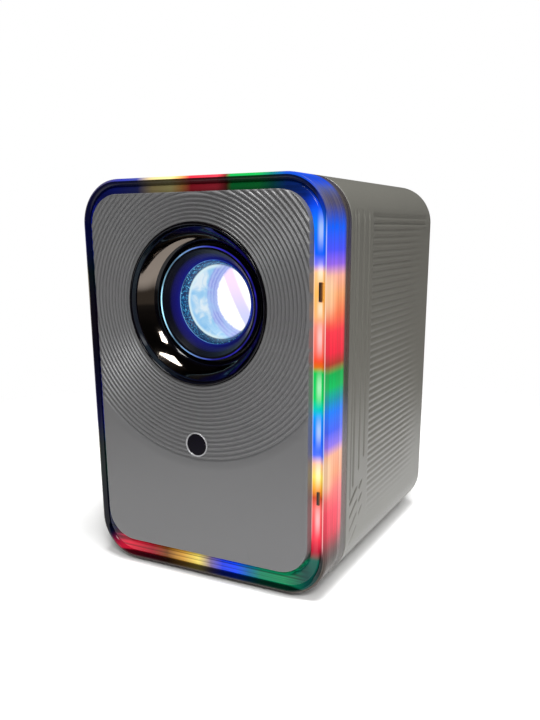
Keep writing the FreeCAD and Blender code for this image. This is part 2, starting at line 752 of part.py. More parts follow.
node("lcd_panel", engine_sheet("panel_glass_at", "sheet_thick"))
node("fresnel_lens", engine_sheet("fresnel_at", "sheet_thick"))
dome = common(rod("y", "condenser_radius", depth("condenser_at - condenser_bulge - 1"),
                  depth("condenser_at + 1"), "0", LENS),
              ball("condenser_curve", "0", depth("condenser_at - condenser_bulge + condenser_curve"),
                   LENS))
node("condenser_lens", join(engine_sheet("condenser_at", "sheet_thick"), dome))
node("lamp_board", join(box("-engine_wide/2", "engine_wide/2", ENGINE_BACK,
                            "%s + lamp_board_thick" % ENGINE_BACK,
                            "%s - engine_tall/2" % LENS, "%s + engine_tall/2" % LENS),
                        middle("0", "%s - 1.5" % ENGINE_BACK, "%s - emitter_wide/2" % LENS,
                               "emitter_wide", "3", "emitter_wide")))
SINK_FRONT = "(%s + lamp_board_thick)" % ENGINE_BACK
fins = []
for index in range(11):
    fins.append(middle("%d*fin_gap" % (index - 5), "%s + sink_long/2" % SINK_FRONT,
                       "%s - engine_tall/2" % LENS, "fin_thick", "sink_long", "engine_tall"))
node("heat_sink", join(box("-sink_wide/2", "sink_wide/2", SINK_FRONT, "%s + sink_base" % SINK_FRONT,
                           "%s - engine_tall/2" % LENS, "%s + engine_tall/2" % LENS), *fins))

# ---- exhaust fan ----------------------------------------------------------
COVER_IN = "(%s - cover_recess)" % BACK
FAN_FRONT = "(%s - fan_thick)" % COVER_IN
fan_square = box("-fan_wide/2", "fan_wide/2", FAN_FRONT, COVER_IN,
                 "%s - fan_wide/2" % LENS, "%s + fan_wide/2" % LENS)
fan_hole = rod("y", "fan_bore", "%s - 1" % FAN_FRONT, "%s + 1" % COVER_IN, "0", LENS)
spider = [spoke("0", "%s + fan_spider/2" % FAN_FRONT, LENS, "fan_hub - 2", "fan_bore + 0.5",
                "fan_spider", "4", angle) for angle in (45, 165, 285)]
node("fan_frame", join(cut(fan_square, fan_hole), *(spider + [
    rod("y", "fan_hub", FAN_FRONT, "%s + fan_spider" % FAN_FRONT, "0", LENS),
    rod("y", "shaft_radius", FAN_FRONT, "%s + fan_spider + 10" % FAN_FRONT, "0", LENS)])))
ROTOR_FRONT = "(%s + fan_spider + slip)" % FAN_FRONT
ROTOR_BACK = "(%s - 1.5)" % COVER_IN
blades = [spoke("0", "(%s + %s)/2" % (ROTOR_FRONT, ROTOR_BACK), LENS, "fan_hub - 1", "fan_tip",
                "blade_thick", "blade_chord", index * 360.0 / 7, 48) for index in range(7)]
node("fan_rotor", cut(join(rod("y", "fan_hub", ROTOR_FRONT, ROTOR_BACK, "0", LENS), *blades),
                      rod("y", "shaft_radius + running", "%s - 1" % ROTOR_FRONT,
                          "%s + fan_spider + 10 + slip" % FAN_FRONT, "0", LENS)))

# ---- rear cover, sockets --------------------------------------------------
MAIN_TOP = "(main_low + board_thick)"
cover_plate = rounded("cover_wide - 2*slip", "cover_tall - 2*slip", "cover_corner - slip",
                      COVER_IN, "cover_thick")
SOCKET_CUT = "%s - 1" % COVER_IN
cover_cuts = []
for index in range(13):
    z = "%s + %d*5.6 - 1.2" % (LENS, index - 6)
    reach = math.sqrt(max(0.0, 36.0 ** 2 - ((index - 6) * 5.6) ** 2))
    cover_cuts.append(middle("0", COVER_IN, z, "2*%.3f" % reach, "12", "2.6"))


def port_way(x, wide, low, tall):
    """An opening through the rear cover for one socket."""
    return box("%s - (%s)/2 - slip" % (x, wide), "%s + (%s)/2 + slip" % (x, wide), SOCKET_CUT,
               "%s + 1" % BACK, "%s - slip" % low, "%s + %s + slip" % (low, tall))


USB_LOW_B = "(%s + usb_pitch)" % MAIN_TOP
SWITCH_LOW = "(%s + 1)" % MAIN_TOP
cover_cuts.append(port_way("hdmi_x", "hdmi_wide", MAIN_TOP, "hdmi_tall"))
cover_cuts.append(port_way("usb_x", "usb_wide", MAIN_TOP, "usb_tall"))
cover_cuts.append(port_way("usb_x", "usb_wide", USB_LOW_B, "usb_tall"))
cover_cuts.append(port_way("jack_x", "jack_wide", MAIN_TOP, "jack_wide"))
cover_cuts.append(port_way("inlet_x", "inlet_wide", MAIN_TOP, "inlet_tall"))
cover_cuts.append(port_way("switch_x", "switch_wide", SWITCH_LOW, "switch_high"))
cover_screw_ways = []
screw_parts = []
for sx, up in shell_screws:
    x = "%d*%s" % (sx, SCREW_X)
    z = "%s + %d*%s" % (MID, up, SCREW_UP)
    cover_screw_ways.append(rod("y", "screw_radius + slip", SOCKET_CUT, "%s + 1" % BACK, x, z))
    cover_screw_ways.append(rod("y", "screw_head + slip",
                                "%s + cover_thick - screw_head_tall" % COVER_IN,
                                "%s + 1" % BACK, x, z))
    head = rod("y", "screw_head", "%s + cover_thick - screw_head_tall" % COVER_IN,
               "%s + cover_thick" % COVER_IN, x, z)
    shank = rod("y", "screw_radius", "%s - 6" % COVER_IN,
                "%s + cover_thick - screw_head_tall + 0.1" % COVER_IN, x, z)
    screw_parts.append(cut(join(head, shank),
                           middle(x, "%s + cover_thick" % COVER_IN, "%s - 0.4" % z, "4", "1.6", "0.8"),
                           middle(x, "%s + cover_thick" % COVER_IN, "%s - 2" % z, "0.8", "1.6", "4")))
node("rear_cover", cut(cover_plate, *(cover_cuts + cover_screw_ways)))
node("rear_screws", group(*screw_parts))

SOCKET_END = depth("socket_back")
SOCKET_START = "(%s - socket_deep)" % SOCKET_END


def socket(x, wide, low, tall):
    return box("%s - (%s)/2" % (x, wide), "%s + (%s)/2" % (x, wide), SOCKET_START, SOCKET_END,
               low, "%s + %s" % (low, tall))


def mouth(x, wide, low, tall, body_tall):
    """The hollow a plug goes into, centred in the socket's face."""
    start = "%s + (%s - (%s))/2" % (low, body_tall, tall)
    return box("%s - (%s)/2" % (x, wide), "%s + (%s)/2" % (x, wide), "%s + 2" % SOCKET_START,
               "%s + 1" % SOCKET_END, start, "%s + %s" % (start, tall))


def tongue(x, wide, low, tall, body_tall):
    start = "%s + (%s - (%s))/2" % (low, body_tall, tall)
    return box("%s - (%s)/2" % (x, wide), "%s + (%s)/2" % (x, wide), "%s + 1" % SOCKET_START,
               "%s - 2" % SOCKET_END, start, "%s + %s" % (start, tall))


node("hdmi_socket", join(cut(socket("hdmi_x", "hdmi_wide", MAIN_TOP, "hdmi_tall"),
                             mouth("hdmi_x", "hdmi_hole_wide", MAIN_TOP, "hdmi_hole_tall", "hdmi_tall")),
                         tongue("hdmi_x", "hdmi_hole_wide - 3", MAIN_TOP, "1", "hdmi_tall")))
usb_pieces = []
for low in (MAIN_TOP, USB_LOW_B):
    shell_part = cut(socket("usb_x", "usb_wide", low, "usb_tall"),
                     mouth("usb_x", "usb_hole_wide", low, "usb_hole_tall", "usb_tall"))
    usb_pieces.append(join(shell_part,
                           box("usb_x - 5.6", "usb_x + 5.6", "%s + 1" % SOCKET_START,
                               "%s - 2" % SOCKET_END, "%s + usb_tall - 3.6" % low,
                               "%s + usb_tall - 1.7" % low)))
usb_link = box("usb_x - usb_wide/2", "usb_x + usb_wide/2", SOCKET_START, "%s + 6" % SOCKET_START,
               "%s + usb_tall - 0.1" % MAIN_TOP, "%s + 0.1" % USB_LOW_B)
node("usb_sockets", join(usb_link, *usb_pieces))
JACK_Z = "(%s + jack_wide/2)" % MAIN_TOP
node("av_jack", cut(socket("jack_x", "jack_wide", MAIN_TOP, "jack_wide"),
                    rod("y", "jack_hole", "%s + 1" % SOCKET_START, "%s + 1" % SOCKET_END,
                        "jack_x", JACK_Z)))
INLET_Z = "(%s + inlet_tall/2)" % MAIN_TOP
node("dc_inlet", join(cut(socket("inlet_x", "inlet_wide", MAIN_TOP, "inlet_tall"),
                          rod("y", "inlet_hole", "%s + 2" % SOCKET_START, "%s + 1" % SOCKET_END,
                              "inlet_x", INLET_Z)),
                      rod("y", "inlet_pin", "%s + 1" % SOCKET_START, "%s - 1" % SOCKET_END,
                          "inlet_x", INLET_Z)))
SWITCH_Z = "(%s + switch_high/2)" % SWITCH_LOW
node("switch_housing", join(
    cut(socket("switch_x", "switch_wide", SWITCH_LOW, "switch_high"),
        mouth("switch_x", "rocker_wide + 2*slip", SWITCH_LOW, "rocker_high + 2*slip", "switch_high")),
    box("switch_x - switch_wide/2 + 1", "switch_x - 2", SOCKET_START, "%s + 4" % SOCKET_START,
        MAIN_TOP, "%s + 0.5" % SWITCH_LOW),
    rod("x", "shaft_radius", "switch_x - switch_wide/2 + 0.2", "switch_x + switch_wide/2 - 0.2",
        "%s - rocker_deep/2 - 1" % SOCKET_END, SWITCH_Z)))
node("power_rocker", cut(
    common(box("switch_x - rocker_wide/2", "switch_x + rocker_wide/2",
               "%s - rocker_deep - 1.4" % SOCKET_END, "%s - 0.4" % SOCKET_END,
               "%s - rocker_high/2 + 0.6" % SWITCH_Z, "%s + rocker_high/2 - 0.6" % SWITCH_Z),
           rod("x", "rocker_high/2 - 0.2", "switch_x - rocker_wide/2", "switch_x + rocker_wide/2",
               "%s - rocker_deep/2 - 1" % SOCKET_END, SWITCH_Z)),
    rod("x", "shaft_radius + running", "switch_x - rocker_wide", "switch_x + rocker_wide",
        "%s - rocker_deep/2 - 1" % SOCKET_END, SWITCH_Z)))

# ---- top controls ---------------------------------------------------------
pad_ways = [rod("z", "button_radius + slip", "%s - wall - 1" % TOP, "%s + 1" % TOP, x, PAD_Y)
            for x in button_x]
node("control_pad", cut(middle("0", PAD_Y, "%s - pad_thick" % TOP, "pad_wide - 2*slip",
                               "pad_deep - 2*slip", "pad_thick - 0.2"), *pad_ways))
BUTTON_LOW = "(%s - button_long)" % TOP
for name, x in zip(BUTTONS, button_x):
    node(name, join(rod("z", "button_radius", BUTTON_LOW, "%s - 0.1" % TOP, x, PAD_Y),
                    rod("z", "button_flange", BUTTON_LOW, "%s + button_flange_tall" % BUTTON_LOW,
                        x, PAD_Y)))
CONTROL_TOP = "(%s - button_travel - 0.1 - switch_tall)" % BUTTON_LOW
switches = [middle(x, PAD_Y, "%s - 0.1" % CONTROL_TOP, "6", "6", "switch_tall + 0.1") for x in button_x]
pillars = []
for sx in (-1, 1):
    for sy in (-1, 1):
        pillars.append(rod("z", "2.5", "%s - 0.1" % CONTROL_TOP, "%s - wall" % TOP,
                           "%d*(pad_wide/2 - 5)" % sx, "%s + %d*(pad_deep/2 - 4)" % (PAD_Y, sy)))
node("control_board", join(middle("0", PAD_Y, "%s - control_thick" % CONTROL_TOP, "pad_wide",
                                  "pad_deep", "control_thick"), *(switches + pillars)))

# ---- feet and tripod insert -----------------------------------------------
node("rubber_feet", group(*[rod("z", "foot_radius", "0", "%s + foot_sink" % BOTTOM,
                                x, y) for x, y in foot_places]))
node("tripod_insert", cut(join(rod("z", "insert_radius - 0.05", BOTTOM, "%s + insert_tall" % BOTTOM,
                                   "0", "0"),
                               rod("z", "insert_radius + 3", "%s + wall" % BOTTOM,
                                   "%s + wall + 2" % BOTTOM, "0", "0")),
                          rod("z", "insert_hole", "%s - 1" % BOTTOM, "%s + insert_tall - 1.5" % BOTTOM,
                              "0", "0")))

# ---- disc drive -----------------------------------------------------------
DRIVE_Y0 = depth("drive_front")
DRIVE_Y1 = depth("drive_front + drive_wide")
DRIVE_TOP = "(drive_low + drive_tall)"
CASE_LEFT = "(%s + 0.5)" % DRIVE_LEFT
case_block = box(CASE_LEFT, "%s + drive_long" % CASE_LEFT, DRIVE_Y0, DRIVE_Y1, "drive_low", DRIVE_TOP)
case_hollow = box("%s - 1" % CASE_LEFT, "%s + drive_long - drive_side" % CASE_LEFT,
                  "%s + drive_side" % DRIVE_Y0, "%s - drive_side" % DRIVE_Y1,
                  "drive_low + drive_sheet", "%s - drive_sheet" % DRIVE_TOP)
legs = []
for x in ("-48", "44"):
    for y in ("%s + 8" % DRIVE_Y0, "%s - 8" % DRIVE_Y1):
        legs.append(rod("z", "leg_radius", "%s + wall" % BOTTOM, "drive_low + 0.2", x, y))
node("drive_chassis", join(cut(case_block, case_hollow), *legs))

TRAY_LOW = "(drive_low + drive_sheet + slip)"
TRAY_TOP = "(%s + tray_tall)" % TRAY_LOW
TRAY_Y0 = "(%s + drive_side + tray_gap)" % DRIVE_Y0
TRAY_Y1 = "(%s - drive_side - tray_gap)" % DRIVE_Y1
WELL_FLOOR = "(%s + tray_floor)" % TRAY_LOW
DISC_FLOOR = "(%s - disc_well_deep)" % TRAY_TOP
WORKS_X0 = "(%s - works_front)" % DISC_X
WORKS_X1 = "(%s + works_back)" % DISC_X
EJECT_Z = "(%s + face_tall/2 - 1)" % FACE_LOW
tray_block = box(DRIVE_LEFT, "%s + tray_long" % DRIVE_LEFT, TRAY_Y0, TRAY_Y1, TRAY_LOW, TRAY_TOP)
node("disc_tray", cut(tray_block,
                      rod("z", "disc_well", DISC_FLOOR, "%s + 1" % TRAY_TOP, DISC_X, DISC_Y),
                      box(WORKS_X0, WORKS_X1, "%s - works_near" % DISC_Y, "%s + works_far" % DISC_Y,
                          WELL_FLOOR, "%s + 1" % TRAY_TOP),
                      box("%s - 1" % DRIVE_LEFT, "%s + 3" % DRIVE_LEFT,
                          "%s + eject_at - eject_wide/2 - slip" % DISC_Y,
                          "%s + eject_at + eject_wide/2 + slip" % DISC_Y,
                          "%s - eject_tall/2 - slip" % EJECT_Z, "%s + eject_tall/2 + slip" % EJECT_Z)))
node("tray_front", cut(box("-%s" % SIDE, DRIVE_LEFT, "%s - face_wide/2" % DISC_Y,
                           "%s + face_wide/2" % DISC_Y, FACE_LOW, "%s + face_tall" % FACE_LOW),
                       box("-%s - 1" % SIDE, "%s + 1" % DRIVE_LEFT,
                           "%s + eject_at - eject_wide/2 - slip" % DISC_Y,
                           "%s + eject_at + eject_wide/2 + slip" % DISC_Y,
                           "%s - eject_tall/2 - slip" % EJECT_Z, "%s + eject_tall/2 + slip" % EJECT_Z)))
node("eject_button", box("-%s + 0.1" % SIDE, "-%s + 0.1 + eject_long" % SIDE,
                         "%s + eject_at - eject_wide/2" % DISC_Y, "%s + eject_at + eject_wide/2" % DISC_Y,
                         "%s - eject_tall/2" % EJECT_Z, "%s + eject_tall/2" % EJECT_Z))
PLATTER_LOW = "(%s + spindle_motor_tall + slip)" % WELL_FLOOR
PLATTER_TOP = "(%s + 0.5)" % DISC_FLOOR
node("spindle_motor", join(rod("z", "spindle_motor_radius", WELL_FLOOR,
                               "%s + spindle_motor_tall" % WELL_FLOOR, DISC_X, DISC_Y),
                           rod("z", "shaft_radius", WELL_FLOOR, "%s + hub_tall - 0.6" % PLATTER_TOP,
                               DISC_X, DISC_Y)))
node("turntable", cut(join(rod("z", "platter_radius", "%s - platter_tall" % PLATTER_TOP, PLATTER_TOP,
                               DISC_X, DISC_Y),
                           rod("z", "hub_radius", PLATTER_LOW, "%s + hub_tall - 0.5" % PLATTER_TOP,
                               DISC_X, DISC_Y),
                           taper("z", "hub_radius", "hub_radius - 1", "%s + hub_tall - 0.5" % PLATTER_TOP,
                                 "%s + hub_tall" % PLATTER_TOP, DISC_X, DISC_Y)),
                      rod("z", "shaft_radius + running", "%s - 1" % PLATTER_LOW,
                          "%s + hub_tall + 1" % PLATTER_TOP, DISC_X, DISC_Y)))
SLED_X0 = "(%s + sled_start)" % DISC_X
SLED_LOW = "(%s + sled_low)" % WELL_FLOOR
ROD_Z = "(%s + sled_low + sled_tall/2)" % WELL_FLOOR
sled_block = join(box(SLED_X0, "%s + sled_long" % SLED_X0, "%s - sled_half" % DISC_Y,
                      "%s + sled_half" % DISC_Y, SLED_LOW, "%s + sled_tall" % SLED_LOW),
                  box("%s + 6" % SLED_X0, "%s + 12" % SLED_X0, "%s + sled_half - 1" % DISC_Y,
                      "%s + screw_off + 2.6" % DISC_Y, SLED_LOW, "%s + sled_tall" % SLED_LOW))
node("laser_sled", cut(sled_block,
                       rod("x", "rod_radius + slip", "%s - 1" % SLED_X0, "%s + sled_long + 1" % SLED_X0,
                           "%s - rod_half" % DISC_Y, ROD_Z),
                       rod("x", "rod_radius + slip", "%s - 1" % SLED_X0, "%s + sled_long + 1" % SLED_X0,
                           "%s + rod_half" % DISC_Y, ROD_Z),
                       rod("x", "lead_radius + slip", "%s - 1" % SLED_X0, "%s + sled_long + 1" % SLED_X0,
                           "%s + screw_off" % DISC_Y, ROD_Z)))
node("pickup_lens", rod("z", "pickup_radius", "%s + sled_tall" % SLED_LOW,
                        "%s + sled_tall + pickup_tall" % SLED_LOW, "%s + sled_long/2" % SLED_X0, DISC_Y))
node("guide_rods", group(rod("x", "rod_radius", WORKS_X0, WORKS_X1, "%s - rod_half" % DISC_Y, ROD_Z),
                         rod("x", "rod_radius", WORKS_X0, WORKS_X1, "%s + rod_half" % DISC_Y, ROD_Z)))
SCREW_X0 = "(%s + sled_motor_long)" % WORKS_X0
node("lead_screw", rod("x", "lead_radius", "%s + slip" % SCREW_X0, "%s - slip" % WORKS_X1,
                       "%s + screw_off" % DISC_Y, ROD_Z))
node("sled_motor", rod("x", "sled_motor_radius", WORKS_X0, SCREW_X0, "%s + screw_off" % DISC_Y, ROD_Z))

# ---- boards ---------------------------------------------------------------
MAIN_Y0 = depth("main_front")
MAIN_Y1 = depth("main_back")
board_posts = []
for sx in (-1, 1):
    for y in ("%s + 8" % MAIN_Y0, "%s - 30" % MAIN_Y1):
        board_posts.append(rod("z", "spacer_radius", DRIVE_TOP, "main_low", "%d*46" % sx, y))
for sx in (-1, 1):
    for y in ("%s + 8" % depth("power_front"), "%s - 8" % depth("power_back")):
        board_posts.append(rod("z", "spacer_radius", MAIN_TOP, "power_low", "%d*48" % sx, y))
node("board_spacers", group(*board_posts))
main_bits = []
main_bits.append(middle("4", depth("105"), "%s - 0.1" % MAIN_TOP, "30", "30", "8"))
main_bits.append(middle("-26", depth("92"), "%s - 0.1" % MAIN_TOP, "14", "12", "1.4"))
main_bits.append(middle("-26", depth("112"), "%s - 0.1" % MAIN_TOP, "14", "12", "1.4"))
main_bits.append(middle("34", depth("130"), "%s - 0.1" % MAIN_TOP, "18", "12", "6"))
for index in range(4):
    main_bits.append(rod("z", "3.5", "%s - 0.1" % MAIN_TOP, "%s + 9" % MAIN_TOP,
                         "-34 + %d*9" % index, depth("140")))
node("main_board", join(box("-main_wide/2", "main_wide/2", MAIN_Y0, MAIN_Y1, "main_low", MAIN_TOP),
                        *main_bits))
POWER_TOP = "(power_low + board_thick)"
power_bits = [middle("-22", depth("106"), "%s - 0.1" % POWER_TOP, "30", "26", "22"),
              middle("20", depth("90"), "%s - 0.1" % POWER_TOP, "16", "20", "14")]
for index in range(3):
    power_bits.append(rod("z", "6", "%s - 0.1" % POWER_TOP, "%s + 20" % POWER_TOP,
                          "10 + %d*14" % index, depth("130")))
node("power_board", join(box("-power_wide/2", "power_wide/2", depth("power_front"),
                             depth("power_back"), "power_low", POWER_TOP), *power_bits))

# ---- speakers -------------------------------------------------------------
SPEAKER_Y = depth("speaker_y")
baskets = []
cones = []
for side in (-1, 1):
    wall_face = "(%s - wall)" % SIDE
    inner = "(%s - speaker_rim)" % wall_face
    turn_x = (lambda a, b: (a, b)) if side > 0 else (lambda a, b: ("-%s" % b, "-%s" % a))
    low, high = turn_x(inner, wall_face)
    rim = rod("x", "speaker_radius", low, high, SPEAKER_Y, "speaker_z")
    scoop = ("cone_centre + 0.3", "cone_radius + 0.3") if side > 0 else ("cone_radius + 0.3",
                                                                    "cone_centre + 0.3")
    cup_low, cup_high = turn_x("(%s + 1)" % inner, "(%s - 0.5)" % wall_face)
    lip_low, lip_high = turn_x("(%s - 0.51)" % wall_face, "(%s + 1)" % wall_face)
    cup = join(taper("x", scoop[0], scoop[1], cup_low, cup_high, SPEAKER_Y, "speaker_z"),
               rod("x", "cone_radius + 0.3", lip_low, lip_high, SPEAKER_Y, "speaker_z"))
    mag_low, mag_high = turn_x("(%s - magnet_deep)" % inner, "(%s + 0.1)" % inner)
    magnet = rod("x", "magnet_radius", mag_low, mag_high, SPEAKER_Y, "speaker_z")
    baskets.append(join(cut(rim, cup), magnet))
    solid = ("cone_centre", "cone_radius") if side > 0 else ("cone_radius", "cone_centre")
    bowl = ("cone_centre - 0.8", "cone_radius - 0.8") if side > 0 else ("cone_radius - 0.8",
                                                                    "cone_centre - 0.8")
    cone_low, cone_high = turn_x("(%s + 1)" % inner, "(%s - 0.5)" % wall_face)
    bowl_low, bowl_high = turn_x("(%s + 2)" % inner, "(%s - 0.49)" % wall_face)
    cones.append(cut(taper("x", solid[0], solid[1], cone_low, cone_high, SPEAKER_Y, "speaker_z"),
                     taper("x", bowl[0], bowl[1], bowl_low, bowl_high, SPEAKER_Y, "speaker_z")))
node("speaker_baskets", group(*baskets))
node("speaker_cones", group(*cones))

# ---- build, check and export ----------------------------------------------
doc.recompute()
for thing in doc.Objects:
    if "Invalid" in thing.State or "Error" in thing.State:
        raise RuntimeError("%s did not build: %s" % (thing.Label, thing.State))
os.makedirs("parts", exist_ok=True)
for thing in nodes:
    shape = thing.Shape
    if shape.isNull() or not shape.isValid():
        raise RuntimeError("%s has no valid shape" % thing.Label)
    shape.exportStep("parts/%s.step" % thing.Label)
    bounds = shape.BoundBox
    print("%-20s solids %2d  volume %10.1f  x %.1f..%.1f y %.1f..%.1f z %.1f..%.1f" % (
        thing.Label, len(shape.Solids), shape.Volume, bounds.XMin, bounds.XMax,
        bounds.YMin, bounds.YMax, bounds.ZMin, bounds.ZMax))
print("%d nodes" % len(nodes))
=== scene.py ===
# %% [markdown]
# # A tower projector with a disc tray, dressed in Blender
#
# The solid model of every piece is loaded first and stays where it is. This
# lesson gives each piece its finish, and builds finer meshes for the outer
# pieces whose soft ribs and glowing plastic a plain solid can't show. Lengths
# are written in millimetres and turned to metres once, by one factor.

# %% Load the solid model
import math
import bpy
from mathutils import Matrix, Vector


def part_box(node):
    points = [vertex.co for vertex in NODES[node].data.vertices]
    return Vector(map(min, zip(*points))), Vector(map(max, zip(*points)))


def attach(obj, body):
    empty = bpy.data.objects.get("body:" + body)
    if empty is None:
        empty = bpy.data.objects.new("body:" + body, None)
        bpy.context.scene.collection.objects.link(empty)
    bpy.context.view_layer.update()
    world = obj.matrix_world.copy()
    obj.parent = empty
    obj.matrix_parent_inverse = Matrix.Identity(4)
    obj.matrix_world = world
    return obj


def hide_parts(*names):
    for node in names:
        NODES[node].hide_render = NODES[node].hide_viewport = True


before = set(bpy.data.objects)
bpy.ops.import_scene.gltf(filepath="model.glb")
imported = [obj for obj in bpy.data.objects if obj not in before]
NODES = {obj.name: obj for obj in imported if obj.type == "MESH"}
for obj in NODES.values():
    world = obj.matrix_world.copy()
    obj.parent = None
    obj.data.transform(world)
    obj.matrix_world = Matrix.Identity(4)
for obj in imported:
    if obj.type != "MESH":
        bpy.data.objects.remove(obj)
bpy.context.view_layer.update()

MM = 0.001

# %% [markdown]
# ## Helpers for colours and shader nodes
#
# Colours are written as sRGB hex values, the way a paint chart gives them. The
# shader wants linear light, so one function turns them. A second function adds
# one shader node with its settings and its links, so that each material below
# reads from top to bottom like a recipe. The node tree that is being filled lies
# on the bench, so the helpers needn't be told which one it is.

# %% Colour and node helpers


def linear(hex_colour):
    """sRGB hex text to a linear colour with alpha 1."""
    channels = [int(hex_colour[i:i + 2], 16) / 255 for i in (1, 3, 5)]
    return [c / 12.92 if c <= 0.04045 else ((c + 0.055) / 1.055) ** 2.4 for c in channels] + [1.0]


bench = {}


def add(kind, inputs=None, **settings):
    """Adds one shader node and returns its outputs. An input is a plain value, hex colour
    text or another node's output."""
    node = bench["tree"].nodes.new("ShaderNode" + kind)
    for name, value in settings.items():
        setattr(node, name, value)
    for name, value in (inputs or {}).items():
        if isinstance(value, bpy.types.NodeSocket):
            bench["tree"].links.new(value, node.inputs[name])
        else:
            node.inputs[name].default_value = linear(value) if isinstance(value, str) else value
    return node.outputs


def new_material(name):
    """Puts a new material on the bench, with an empty node tree."""
    material = bpy.data.materials.new(name)
    material.use_nodes = True
    material.node_tree.nodes.clear()
    bench.update(material=material, tree=material.node_tree)


def surfaced(inputs):
    """Ends the material with one Principled shader, with its constants on its own sockets."""
    add("OutputMaterial", {"Surface": add("BsdfPrincipled", inputs)[0]})
    return bench["material"]


def ramp(value, stops, smooth="EASE"):
    """A colour ramp from (position, hex colour) pairs."""
    colour = add("ValToRGB", {0: value})["Color"]
    table = colour.node.color_ramp
    table.interpolation = smooth
    while len(table.elements) < len(stops):
        table.elements.new(0.5)
    for element, (place, hex_colour) in zip(table.elements, stops):
        element.position = place
        element.color = linear(hex_colour)
    return colour


def between(value, low, high, to_low=0.0, to_high=1.0):
    """Maps a value from one span to another, softly at both ends."""
    return add("MapRange", {0: value, 1: low, 2: high, 3: to_low, 4: to_high},
               interpolation_type="SMOOTHSTEP")[0]


def maths(operation, first, second=0.0):
    return add("Math", {0: first, 1: second}, operation=operation)[0]


def product(*values):
    """The values multiplied, which keeps only what all of them let through."""
    result = values[0]
    for value in values[1:]:
        result = maths("MULTIPLY", result, value)
    return result


def away_from(value, centre=0.0):
    """How far a value lies from a centre, on either side."""
    return maths("ABSOLUTE", maths("SUBTRACT", value, centre))


def mix_colours(share, first, second):
    return add("Mix", {0: share, 6: first, 7: second}, data_type="RGBA")[2]


def own_space(scale=(1, 1, 1), shift=(0, 0, 0)):
    """A point's place in the piece's own space, in metres, scaled and then shifted."""
    place = add("TexCoord")["Object"]
    return add("Mapping", {"Vector": place, "Location": shift, "Scale": scale})[0]


def noise(scale, stretch=(1, 1, 1), detail=2.0):
    """Noise in the piece's own space; scale is features per metre."""
    return add("TexNoise", {"Vector": own_space(stretch), "Scale": scale, "Detail": detail})["Fac"]


def relief(height, strength, depth_mm):
    """A pattern's bumps, for relief too fine for the mesh."""
    return add("Bump", {"Strength": strength, "Distance": depth_mm * MM, "Height": height})[0]


def dress(node_name, material):
    """Gives a solid node its finish."""
    mesh = NODES[node_name].data
    mesh.materials.clear()
    mesh.materials.append(material)


print("helpers ready")

# %% [markdown]
# ## Moulded plastics
#
# The body and the front panel are moulded ABS. The mould is spark eroded, which
# leaves a fine even grain of about 0.15 mm; that is finer than a pixel here, so
# the grain is drawn at about 0.5 mm. The grain breaks up the highlights, and a
# slow change of tone over some centimetres keeps a large face from looking flat.

# %% Moulded plastic


def moulded_plastic(name, colour, roughness, grain_mm=0.5, bump=0.12, tone=0.06, ior=1.53):
    """Semi-matte moulded plastic: a fine spark-eroded grain and a slow change of tone."""
    new_material(name)
    base = linear(colour)
    dark = [c * (1 - tone) for c in base[:3]] + [1.0]
    light = [min(1.0, c * (1 + tone)) for c in base[:3]] + [1.0]
    grain = noise(1.0 / (grain_mm * MM), detail=1.0)
    return surfaced({
        "Base Color": mix_colours(noise(18.0), dark, light), "IOR": ior,
        "Roughness": between(grain, 0.3, 0.7, roughness - 0.05, roughness + 0.05),
        "Normal": relief(grain, bump, 0.1)})


WARM_GREY = moulded_plastic("moulded ABS, warm grey", "#5e5d57", 0.40)
MID_GREY = moulded_plastic("moulded ABS, neutral grey", "#5c5c5d", 0.37, bump=0.04, tone=0.03)
PLAIN_BLACK = moulded_plastic("moulded ABS, black", "#161618", 0.5)
NYLON_BLACK = moulded_plastic("glass filled nylon, black", "#1c1c1f", 0.55, grain_mm=0.8, bump=0.2)
TRAY_BLACK = moulded_plastic("polycarbonate tray, black", "#232325", 0.4)
ACETAL_WHITE = moulded_plastic("acetal, white", "#e6e4dc", 0.35, bump=0.05, ior=1.48)
ACETAL_GREY = moulded_plastic("acetal, grey", "#9b9b98", 0.35, bump=0.05, ior=1.48)
SOFT_RUBBER = moulded_plastic("moulded rubber", "#1b1b1b", 0.75, grain_mm=0.4, bump=0.3, ior=1.52)
print("moulded plastics ready")

# %% [markdown]
# ## Plated and polished black
#
# The bowl round the lens is ABS with a black chrome plating. It reflects about an
# eighth of what it faces, so a bright table shows in it as a clear warm grey
# crescent and a dark room as black. The other black pieces are plain ABS from a
# polished mould. A trace of dust keeps both from being perfect.

# %% Polished black


def polished(name, colour, roughness=0.06, dust=0.06, metallic=0.0, coat=0.6, specular=0.5):
    """A gloss finish with a faint film of dust in its roughness."""
    new_material(name)
    film = noise(90.0, detail=5.0)
    return surfaced({
        "Base Color": colour, "IOR": 1.5, "Metallic": metallic, "Coat Weight": coat,
        "Coat Roughness": 0.03, "Specular IOR Level": specular,
        "Roughness": between(film, 0.45, 0.8, roughness, roughness + dust)})


BLACK_CHROME = polished("black chrome plating", "#655d56", 0.05, 0.05, metallic=1.0, coat=0.0)
PIANO_BLACK = polished("polished ABS, piano black", "#050408")
BARE_BLACK = polished("polished ABS, bare funnel edge", "#040306", 0.1, 0.02, coat=0.0, specular=0.22)
SMOKED_WINDOW = polished("infrared pass acrylic", "#02000a", 0.04, 0.02, coat=0.0, specular=0.08)
GREY_RIM = polished("polished ABS, neutral grey", "#8e8e90", 0.2, 0.05, coat=0.2)
print("polished finishes ready")

# %% [markdown]
# ## Metals, boards and the rest of the inside
#
# Brushed or plated metal has a metallic value of one, and its roughness tells
# how it was finished. Circuit boards are glass fibre under a thin lacquer, with
# copper tracks that show as a slightly lighter pattern.

# %% Metals and boards


